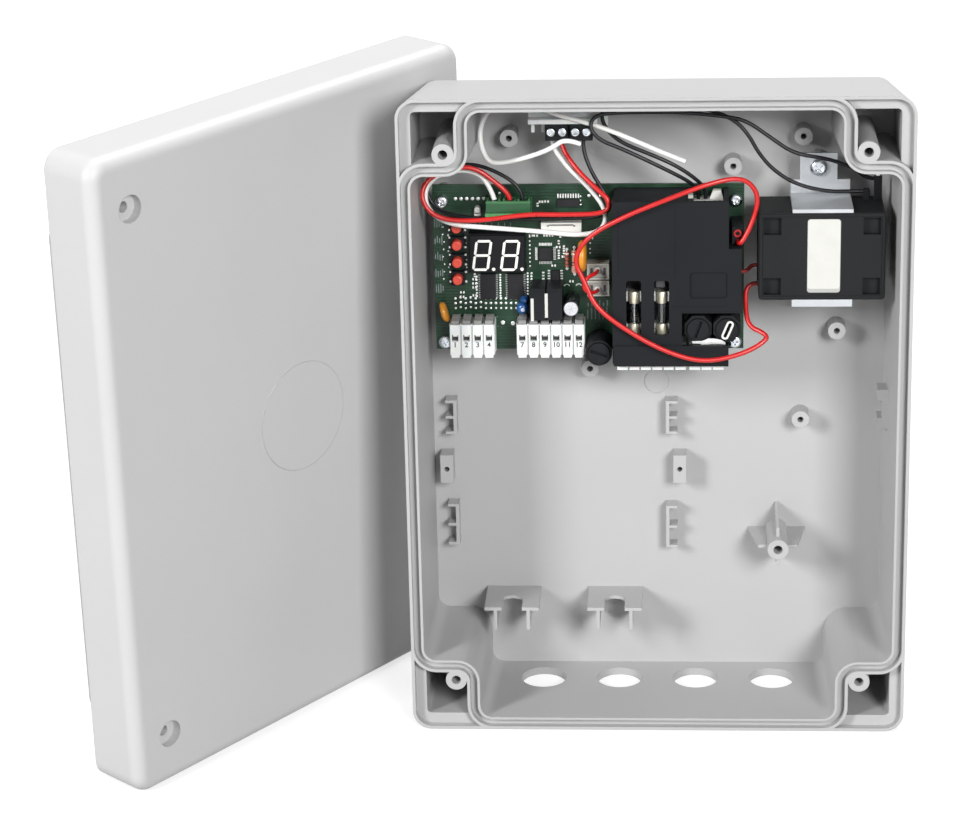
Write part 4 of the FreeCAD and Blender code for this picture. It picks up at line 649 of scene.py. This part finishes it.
def pads():
    """Bare soldered holes and lands of the board."""
    lands = Shape()
    spots = [(-87.9 + 2.5 * i, 237.2, 0.78) for i in range(6)]
    spots += [(-68.1, 180.4, 0.95), (-63.6, 180.0, 0.95), (-68.5, 239.6, 0.6), (-65.9, 240.3, 0.5),
              (-29.2, 238.3, 0.75), (-24.3, 238.1, 0.6)]
    for i in range(14):
        step = 0.45 if i % 2 and i < 6 else 0.0
        for z in (191.6, 189.4, 187.1):
            spots.append((-89.0 + 2.25 * i, z + step, 0.6 if z > 188 else 0.5))
    for x, z, step, count, radius in ((-68.9, 192.8, 1.2, 9, 0.5), (-79.4, 192.6, 1.5, 7, 0.5),
                                      (-56.7, 193.6, 1.35, 8, 0.5), (-55.0, 193.6, 1.35, 8, 0.5),
                                      (-55.6, 206.4, 1.9, 8, 0.42), (-33.0, 234.2, 1.9, 3, 0.42)):
        spots += [(x, z + step * i, radius) for i in range(count)]
    spots += [(-27.9, 218.9, 0.42), (-28.9, 216.7, 0.36), (-29.0, 214.2, 0.36), (-29.0, 212.2, 0.36)]
    spots += [(-94.0 + 0.3 * (i % 3), 200.6 + 3.4 * i, 0.34) for i in range(9)]
    spots += [(-91.6, z, 0.4) for z in (206.0, 213.4, 220.6)] + [(-83.6, z, 0.4) for z in (209.4, 217.2, 206.0)]
    for x, z, radius in spots:
        lands.spin(x, z, [(radius, 38.02), (radius, 37.92), (radius * 0.86, 37.8), (radius * 0.4, 37.72)], 16)
    lands.make("solder_pads", "solder", "clip_metal")


def print_marks():
    """Faint printed strokes of the board: ticks that spell nothing and a striped field."""
    dice = random.Random(5)
    clear, faint = Shape(), Shape()

    def stroke(kind, x0, x1, z0, z1):
        kind.block(x0, x1, 37.965, 38.01, z0, z1)

    for i in range(5):
        z = 196.4 + 7.4 * i
        for k in range(4):
            x = -97.6 + 1.0 * k
            stroke(faint, x, x + 0.5, z - 1.4 - dice.random(), z + 0.4 + 1.6 * dice.random())
    for i in range(6):
        x = -30.6 + 1.7 * i
        stroke(faint, x, x + 0.55, 181.8, 186.2 + 0.6 * (i % 3))
        stroke(faint, x + 0.2, x + 0.8, 187.8, 189.4 + 1.2 * (i % 2))
    for x in (-79.6, -77.6, -75.0, -72.4, -69.4, -66.6, -64.0):
        stroke(faint, x, x + 0.35, 224.4, 226.2)
    for _ in range(30):
        x, z = dice.uniform(-96, -22), dice.uniform(170, 184)
        stroke(faint, x, x + dice.uniform(0.3, 0.9), z, z + 0.3)
    for x, z in ((-39.4, 197.6), (-34.1, 197.8)):
        for k in range(7):
            a = math.radians(30 + 20 * k)
            px, pz = x + 1.25 * math.cos(a), z - 0.9 + 1.25 * math.sin(a)
            stroke(clear, px - 0.28, px + 0.28, pz - 0.2, pz + 0.2)
    clear.make("board_print", "ink", "terminal_white")
    faint.make("board_print_faint", "ink_faint", "terminal_white")


def can_capacitor():
    """The upright can: a sleeve with its neck, a bright top and the vent pressed in it."""
    sleeve, top, vent = Shape(), Shape(), Shape()
    x, z = -37.1, 191.2
    sleeve.spin(x, z, [(3.2, BOARD_Y), (3.5, 37.6), (3.5, 35.4), (3.22, 35.0), (3.22, 34.7), (3.5, 34.3), (3.5, 22.7),
                       (3.36, 22.3), (3.05, 22.2)], 40)
    top.spin(x, z, [(3.1, 22.4), (3.1, 22.12), (2.95, 22.0), (1.5, 22.06)], 40)
    for turn in (20, 80, 140):
        vent.outline([(x + a, z + b) for a, b in slot_corners(0.09, 2.3, turn)], 21.98, 22.1)
    sleeve.make("can_capacitor_sleeve", "sleeve", "can_metal", stands_for=["filter_capacitor"])
    top.make("can_capacitor_top", "can", "can_metal")
    vent.make("can_capacitor_vent", "label_edge", "can_metal")


def leaded():
    """The two ceramic discs, the resistor, the diode and the two-humped drop capacitor with a pale disc on its tip, a
    painted highlight.
    """
    discs, leads = Shape(), Shape()
    lens = ((0.35, 0.0), (0.8, 0.07), (0.96, 0.24), (1.0, 0.42), (1.0, 0.58), (0.96, 0.76), (0.8, 0.93), (0.35, 1.0))
    for x, z, radius, thick, slant in ((-34.2, 213.0, 7.0, 4.0, 0.0), (-95.2, 186.8, 4.4, 3.0, 0.26)):
        before = len(discs.mesh.verts)
        middle = x + thick / 2
        discs.turn_side(BOARD_Y - 0.4 - radius, z, [(radius * r, x + thick * t) for r, t in lens], 44)
        for side in (-1, 1):
            leads.spin(middle, z + side * radius * 0.32, [(0.36, BOARD_Y), (0.36, 36.4)], 12)
            discs.spin(middle, z + side * radius * 0.32, [(0.6, 37.7), (0.95, 36.4)], 14)
        for vert in list(discs.mesh.verts)[before:]:
            vert.co.x += (z - vert.co.z) * slant
    resistor, diode, drop = Shape(), Shape(), Shape()
    resistor.turn_up(*RESISTOR, [(0.6, 203.6), (1.15, 203.8), (1.3, 204.3), (1.3, 205.7), (1.06, 206.4),
                                 (1.06, 211.0), (1.3, 211.7), (1.3, 213.1), (1.15, 213.6), (0.6, 213.8)], 28)
    diode.turn_up(*DIODE, [(0.5, 206.2), (0.9, 206.5), (0.9, 212.7), (0.5, 213.0)], 24)
    for (x, y), low, high in ((RESISTOR, 202.3, 215.1), (DIODE, 204.9, 214.3)):
        leads.turn_up(x, y, [(0.3, low), (0.3, high)], 12)
        for z in (low + 0.3, high - 0.3):
            leads.spin(x, z, [(0.3, BOARD_Y), (0.3, y)], 12)
            leads.spin(x, z, [(0.75, BOARD_Y), (0.6, 37.75)], 14)
    bands = {"rust": (207.2, 213.0), "dark_print_and_shade": (208.4,), "orange": (209.6,), "nickel": (212.4,)}
    for look, heights in bands.items():
        ring = Shape()
        for z in heights:
            wide = 1.33 if z > 211.5 else 1.09
            ring.turn_up(*RESISTOR, [(wide, z - 0.3), (wide, z + 0.3)], 28)
        ring.make(f"resistor_band_{look}", look, "orange_ceramic")
    stripes, end_band = Shape(), Shape()
    for z in (207.6, 209.2, 211.0):
        stripes.turn_up(*DIODE, [(0.93, z - 0.3), (0.93, z + 0.3)], 24)
    end_band.turn_up(*DIODE, [(0.94, 212.0), (0.94, 212.6)], 24)
    stripes.make("diode_bands", "dark_print_and_shade", "black_plastic")
    end_band.make("diode_end_band", "ink", "terminal_white")
    drop.spin(-58.9, 188.3, [(1.5, BOARD_Y), (2.4, 36.9), (2.75, 35.6), (2.75, 34.0), (2.5, 32.8), (1.8, 31.9),
                             (0.9, 31.55), (0.3, 31.5)], 36)
    drop.spin(-58.1, 191.3, [(1.9, BOARD_Y), (2.1, 36.6), (1.7, 35.0), (0.8, 34.2)], 28)
    # A pale lilac disc on the drop capacitor's tip: a painted highlight of the lamp's reflection.
    glint = Shape()
    glint.spin(-58.8, 188.1, [(1.05, 31.7), (0.8, 31.5), (0.3, 31.44)], 24)
    glint.make("drop_capacitor_painted_glint", "lilac", "orange_ceramic")
    discs.make("ceramic_discs", "orange", "orange_ceramic", stands_for=["leaded_parts"])
    resistor.make("resistor_body", "pink", "orange_ceramic")
    diode.make("diode_body", "rust", "orange_ceramic")
    drop.make("drop_capacitor", "blue", "orange_ceramic")
    leads.make("part_leads", "tin", "clip_metal")


def signal_connector():
    """The green plug: a ridged top in a paler green, a painted highlight along its top edge, a dark face and a paler
    foot, on its green header.
    """
    header, plug, foot, dark, ridge = (Shape() for _ in range(5))
    header.block(-74.2, -53.9, 33.0, BOARD_Y, 231.9, 238.9)
    plug.block(-73.8, -54.3, 26.0, 33.0, 233.7, 238.5)
    foot.block(-74.2, -54.0, 25.8, 33.0, 231.9, 233.5)
    # The ridge and its ribs take a paler green: a painted highlight along the plug's lit top edge.
    ridge.block(-73.8, -54.3, 25.9, 27.2, 237.9, 238.9)
    for i, x in enumerate((-73.4, -68.4, -66.4, -61.4, -60.0, -55.4)):
        ridge.block(x, x + 0.8, 27.2, 32.6, 238.3, 239.5 if i % 3 else 239.1)
    # Dark patches on the plug's top where its openings are: painted shade of the openings.
    for x in (-70.2, -63.7, -57.8):
        dark.block(x - 1.5, x + 1.5, 28.0, 31.0, 238.3, 238.62)
    for x in (-70.6, -66.0):
        foot.block(x - 1.5, x + 1.5, 25.3, 26.0, 232.2, 232.9)
    header.make("signal_header", "green", "plug_green", edge=0.2, stands_for=["board_headers"])
    plug.make("signal_plug_body", "green", "plug_green", edge=0.15, stands_for=["signal_plug"])
    foot.make("signal_plug_foot", "green_light", "plug_green", edge=0.15)
    ridge.make("signal_plug_ridge", "green_mid", "plug_green", edge=0.12)
    dark.make("signal_plug_openings", "dark_print_and_shade", "black_plastic")


def white_headers():
    """The pale header with its one thin slot, filled with a dark strip of painted shade, and the small two-part piece
    left of the plug.
    """
    shell, slot = Shape(), Shape()
    x0, x1, z0, z1 = -50.2, -32.5, 222.8, 227.6
    shell.block(x0, x1, 35.6, BOARD_Y, z0, z1)
    shell.block(x0, x1, 32.0, 35.6, 226.8, z1)
    shell.block(x0, x1, 32.0, 35.6, z0, 226.2)
    shell.block(x0, -46.8, 32.0, 35.6, 226.2, 226.8)
    shell.block(-36.0, x1, 32.0, 35.6, 226.2, 226.8)
    # A dark strip sunk in the slot and two at its ends: painted shade of the slot.
    slot.block(-46.8, -36.0, 33.0, 35.7, 226.2, 226.8)
    slot.block(-47.6, -46.8, 31.94, 32.05, 225.9, 226.5)
    slot.block(-36.0, -35.2, 31.94, 32.05, 225.9, 226.5)
    shell.spin(-78.2, 233.0, [(1.4, BOARD_Y), (1.4, 34.3), (1.1, 34.0)], 20)
    shell.block(-79.6, -76.8, 34.4, BOARD_Y, 231.6, 232.6)
    shell.block(-79.6, -76.8, 34.4, BOARD_Y, 230.3, 231.2)
    shell.make("white_header_shells", "ivory", "connector_white", edge=0.12, stands_for=["board_headers"])
    slot.make("white_header_slot", "dark_print_and_shade", "black_plastic")


def accessory_sockets():
    """The two grey plugs: a pale frame round a darker block, with its contact openings drawn as dark patches of
    painted shade.
    """
    frames, blocks, dark, collar = Shape(), Shape(), Shape(), Shape()
    for z0, z1, wire_z in ((202.2, 209.4, 206.4), (194.6, 201.6, 197.6)):
        frames.frame(-30.2, -20.4, 30.0, BOARD_Y, z0, z1, 0.8, 0.9)
        blocks.block(-29.3, -21.3, 30.7, BOARD_Y, z0 + 0.8, z1 - 0.8)
        # Dark patches where the contact openings are: painted shade.
        for x in (-28.2, -22.5):
            dark.block(x - 0.55, x + 0.55, 30.6, 31.0, z0 + 2.0, z1 - 2.0)
        collar.spin(-25.6, wire_z, [(1.45, 31.0), (1.45, 30.2), (1.2, 29.95)], 24)
    frames.make("accessory_frames", "putty", "connector_grey", edge=0.18, stands_for=["accessory_plugs"])
    blocks.make("accessory_blocks", "grey", "connector_grey", edge=0.1)
    dark.make("accessory_openings", "dark_print_and_shade", "black_plastic")
    collar.make("accessory_collars", "ivory", "connector_white")


def relays():
    """Pale strips painted down the relays' left edges as highlights of their lit sides, and the relays' moulded rims.
    """
    strips, rims = Shape(), Shape()
    # Pale strips along each relay's left edge: painted highlights of the lit side edges.
    strips.block(-54.8, -53.5, 22.9, 23.1, 185.4, 195.8)
    strips.block(-48.6, -47.3, 22.9, 23.1, 187.0, 198.0)
    for x0, x1 in ((-55.2, -48.4), (-47.8, -41.0)):
        rims.block(x0 + 0.5, x1 - 0.5, 22.85, 23.1, 199.0, 199.6)
        rims.block(x0 - 0.08, x1 + 0.08, 36.6, BOARD_Y, 185.72, 200.28)
    strips.make("relay_edge_highlights", "label", "terminal_white")
    rims.make("relay_rims", "black", "black_plastic", edge=0.08)


def levers():
    """Each lying lever with its finger dip, on its own body."""
    side = [(26.6, 182.5), (26.6, 183.9), (27.2, 184.55), (28.3, 184.7), (29.3, 184.1), (30.4, 183.8),
            (31.5, 184.1), (32.4, 184.7), (37.2, 184.7), (37.2, 182.5)]
    for first, start, count in TERMINAL_ROWS:
        for i in range(count):
            x, name = start + TERMINAL_STEP * (i + 0.5), f"lever_{first + i:02d}"
            shape = Shape()
            shape.skin([shape.ring([(x + s, y, z) for y, z in side]) for s in (-1.8, 1.8)])
            shape.make(f"{name}_bar", "lever", "lever_grey", f"{name}_body", edge=0.15, stands_for=[name])


def text_mesh(text, size, x, y, z):
    """A printed number, centred on (x, z) in the plane y."""
    curve = bpy.data.curves.new("number", "FONT")
    curve.body = text
    curve.size = size
    curve.align_x = curve.align_y = "CENTER"
    curve.extrude = 0.02
    curve.offset = 0.07
    curve.resolution_u = 3
    holder = bpy.data.objects.new("number", curve)
    data = bpy.data.meshes.new_from_object(holder)
    bpy.data.objects.remove(holder)
    bpy.data.curves.remove(curve)
    for vert in data.vertices:
        vert.co = spot(x + vert.co.x, y - vert.co.z, z + vert.co.y)
    return data


def terminals():
    """Numbers, clamps and wire openings of the two front rows; each opening is a dark patch of painted shade."""
    dark, clamps = Shape(), Shape()
    for first, start, count in TERMINAL_ROWS:
        for i in range(count):
            x = start + TERMINAL_STEP * (i + 0.5)
            # A dark patch at each wire opening: painted shade of the hole.
            dark.block(x - 1.46, x + 1.46, 27.4, 28.0, 175.54, 178.46)
            clamps.block(x - 1.0, x + 1.0, 26.9, 27.5, 177.3, 178.3)
            finish_piece(f"number_{first + i}", text_mesh(str(first + i), 3.2, x, 24.97, 173.9),
                         "dark_print_and_shade")
    dark.make("wire_openings", "dark_print_and_shade", "black_plastic")
    clamps.make("wire_clamps", "tin", "clip_metal")


def fuses():
    """Glass fuses with rounded caps and a fine wire, the black bed under them and the dark peg above."""
    caps, thread, glass, bed, inner, peg = (Shape() for _ in range(6))
    for x in FUSES_X:
        for low, turn in ((180.6, 1), (200.6, -1)):
            profile = [(1.9, 0.0), (2.4, 0.12), (2.6, 0.45), (2.6, 5.0), (2.5, 5.3), (2.3, 5.4)]
            profile = [(radius, low + turn * z) for radius, z in profile]
            caps.turn_up(x, FUSE_Y, profile if turn > 0 else profile[::-1], 40)
        glass.loop([glass.ring([(a, b, z) for a, b in circle(x, FUSE_Y, radius, 40)])
                    for radius, z in ((1.85, 186.0), (2.35, 186.0), (2.35, 195.2), (1.85, 195.2))])
        bed.block(x - 3.2, x + 3.2, 24.0, 37.9, 179.2, 206.8)
    inner.turn_up(FUSES_X[1], FUSE_Y, [(1.5, 186.2), (1.7, 186.6), (1.7, 194.6), (1.5, 195.0)], 24)
    thread.turn_up(-9.3, 17.6, [(0.28, 185.6), (0.28, 195.6)], 12)
    caps.make("fuse_cap_ends", "nickel", "fuse_caps", stands_for=["fuse_end_caps"])
    glass.make("fuse_tubes", "glass", "fuse_glass", stands_for=["fuse_glass"])
    inner.make("fuse_filling", "smoke", "fuse_glass")
    thread.make("fuse_wires", "solder", "clip_metal")
    bed.make("fuse_bed", "black", "black_plastic")
    peg.block(-0.1, 4.3, 16.9, 24.0, 202.2, 206.2)
    peg.make("fuse_peg", "smoke", "connector_grey", edge=0.5)


def slot_outline():
    """The pale line painted round the driver slot of the right cap, and the bright link plate below it."""
    shape = Shape()
    x, z, turn, reach = 31.2, 183.9, 23.0, 2.8

    def round_slot(half):
        points = []
        for side in (1, -1):
            for i in range(9):
                a = math.pi * i / 8
                points.append((half * math.cos(a) * side, side * (reach + half * math.sin(a))))
        return turned(points, turn)

    shape.loop([shape.ring([(x + a, y, z + b) for a, b in round_slot(half)])
                for half, y in ((1.62, 13.45), (1.62, 13.34), (0.72, 13.34), (0.72, 13.45))])
    shape.make("cap_slot_outline", "ink", "terminal_white", "fuse_cap_2_body")
    plate = Shape()
    plate.outline([(15.7, 178.7), (16.0, 177.8), (20.2, 177.6), (23.0, 177.1), (25.8, 177.4), (30.4, 176.9),
                   (30.2, 178.2), (28.5, 179.3), (25.8, 179.9), (23.2, 180.0), (20.2, 178.9)], 14.1, 14.5)
    plate.block(19.6, 28.6, 14.1, 37.0, 176.95, 177.55)
    plate.make("link_plate", "solder", "clip_metal")


def cover_lines():
    """Fine moulded lines and the pale peg of the black cover, and the red ring on the tab block."""
    shape = Shape()
    for x0, x1, z0, z1 in ((-16.2, -16.0, 210.0, 240.4), (8.3, 8.5, 208.0, 240.4), (7.6, 30.8, 195.1, 195.3),
                           (11.4, 37.0, 192.6, 192.8)):
        shape.block(x0, x1, 11.96, 12.05, z0, z1)
    shape.make("cover_mould_lines", "cover", "cover_plastic")
    peg = Shape()
    peg.block(14.1, 16.3, 18.0, 22.0, 241.5, 243.4)
    peg.make("cover_top_peg", "putty", "connector_grey", edge=0.2)
    ring = Shape()
    ring.loop(ring.spun_rings(35.4, 226.0, [(0.95, 19.05), (1.75, 19.05), (1.75, 18.5), (0.95, 18.5)], 28))
    ring.make("tab_block_ring", "red_wire", "red_wire", edge=0.1)


def transformer():
    """The rim of the front face, the blank label, the strap's dimples and the insulated tabs."""
    rim, dents, tabs = Shape(), Shape(), Shape()
    rim.frame(44.8, 98.4, 13.5, 14.1, 197.9, 235.7, 1.2, 1.2)
    rim.make("transformer_rim", "trafo", "black_plastic", edge=0.15)

    def rounded(xa, xb, za, zb, radius):
        corners = []
        for cx, cz, start in ((xb - radius, zb - radius, 0), (xa + radius, zb - radius, 90),
                              (xa + radius, za + radius, 180), (xb - radius, za + radius, 270)):
            for i in range(6):
                a = math.radians(start + 18 * i)
                corners.append((cx + radius * math.cos(a), cz + radius * math.sin(a)))
        return corners

    border, paper = Shape(), Shape()
    border.outline(rounded(65.3, 79.5, 200.7, 233.4, 1.3), 13.92, 14.05)
    paper.outline(rounded(65.5, 79.3, 202.4, 233.2, 1.1), 13.86, 13.95)
    border.make("label_border", "label_edge", "connector_grey")
    paper.make("label_blank", "label", "connector_white")
    for x in (61.5, 66.5, 77.0, 82.0):
        for y in (18.0, 30.0):
            dents.turn_up(x, y, [(0.55, 237.6), (0.55, 237.74)], 14)
    dents.make("strap_dimples", "label_edge", "zinc_strap")
    tabs.block(94.8, 98.2, 36.3, 39.7, 235.9, 246.6)
    tabs.block(90.1, 92.9, 36.5, 39.5, 235.9, 240.9)
    tabs.make("transformer_tab_sleeves", "black", "black_plastic", edge=0.35)


def bracket():
    """The side tongue and the front lip of the strip's bracket, and the strip's moulded ribs."""
    tongue, lip, ribs = Shape(), Shape(), Shape()
    tongue.block(-25.3, -20.6, 37.0, 40.5, 276.0, 277.9)
    tongue.block(-22.7, -20.6, 37.0, 40.5, 270.1, 276.0)
    tongue.make("bracket_tongue", "white", "terminal_white", edge=0.15)
    lip.block(-55.1, -25.0, 29.9, 36.1, 272.12, 274.2)
    lip.make("bracket_front_lip", "white", "terminal_white", edge=0.15)
    for x in (-47.7, -42.7, -32.1, -27.7):
        ribs.block(x, x + 0.6, 29.7, 30.3, 264.9, 272.0)
    ribs.make("strip_ribs", "black", "black_plastic", edge=0.1)


for build in (pan_heads, strip_heads, buttons, display, chips, small_parts, pads, print_marks, can_capacitor, leaded,
              signal_connector, white_headers, accessory_sockets, relays, levers, terminals, fuses, slot_outline,
              cover_lines, transformer, bracket):
    build()


# ---- floor and light ----
FLOOR_WIDTH = 2.6
FLOOR_GLOW = 0.70    # with the lamps' own light on the paper this is white, and a shadow still shows
SKY_LIGHT = 0.045


def background_rays(tree):
    """1 for the rays that see the background itself: from the camera, mirrored or through glass."""
    rays = node(tree, "ShaderNodeLightPath", {}).outputs
    seen = combine(tree, "MAXIMUM", rays["Is Camera Ray"], rays["Is Glossy Ray"])
    return combine(tree, "MAXIMUM", seen, rays["Is Transmission Ray"])


def floor():
    """White paper under the part."""
    half = FLOOR_WIDTH / 2
    data = bpy.data.meshes.new("floor")
    data.from_pydata([(-half, -half, 0), (half, -half, 0), (half, half, 0), (-half, half, 0)], [], [(0, 1, 2, 3)])
    made, tree, shader = material("floor_paper")
    paper = blend_colour(tree, noise(tree, 3.0), (0.34, 0.34, 0.34), (0.36, 0.36, 0.36))
    fill(tree, shader, {"Base Color": paper, "Roughness": 0.9, "Emission Color": (1, 1, 1, 1),
                        "Emission Strength": combine(tree, "MULTIPLY", background_rays(tree), FLOOR_GLOW)})
    data.materials.append(made)
    new_object("floor", data)


def sky():
    """A white surround that lights the part only faintly."""
    world = bpy.data.worlds.new("studio")
    world.use_nodes = True
    scene.world = world
    tree = world.node_tree
    fill(tree, tree.nodes["Background"], {"Color": (1, 1, 1, 1),
                                          "Strength": span(tree, background_rays(tree), SKY_LIGHT, 1.0, 0.0, 1.0)})


def lamp(name, place, aim, width, height, power):
    """A soft box lamp: place, aim and size in metres, power in watts."""
    data = bpy.data.lights.new(name, "AREA")
    data.shape = "RECTANGLE"
    data.size, data.size_y = width, height
    data.energy = power
    thing = new_object(name, data)
    thing.location = place
    thing.rotation_mode = "QUATERNION"
    thing.rotation_quaternion = (Vector(aim) - Vector(place)).to_track_quat("-Z", "Y")


floor()
sky()
lamp("key_left", (-1.67, -1.60, 1.25), (0, 0, 0.14), 0.5, 0.8, 51)
lamp("key_right", (0.93, -2.12, 1.25), (0, 0, 0.14), 0.7, 0.8, 59)
lamp("top", (0.3, 0.9, 1.95), (0, 0.1, 0.1), 1.2, 1.2, 39)
scene.view_settings.view_transform = "Standard"
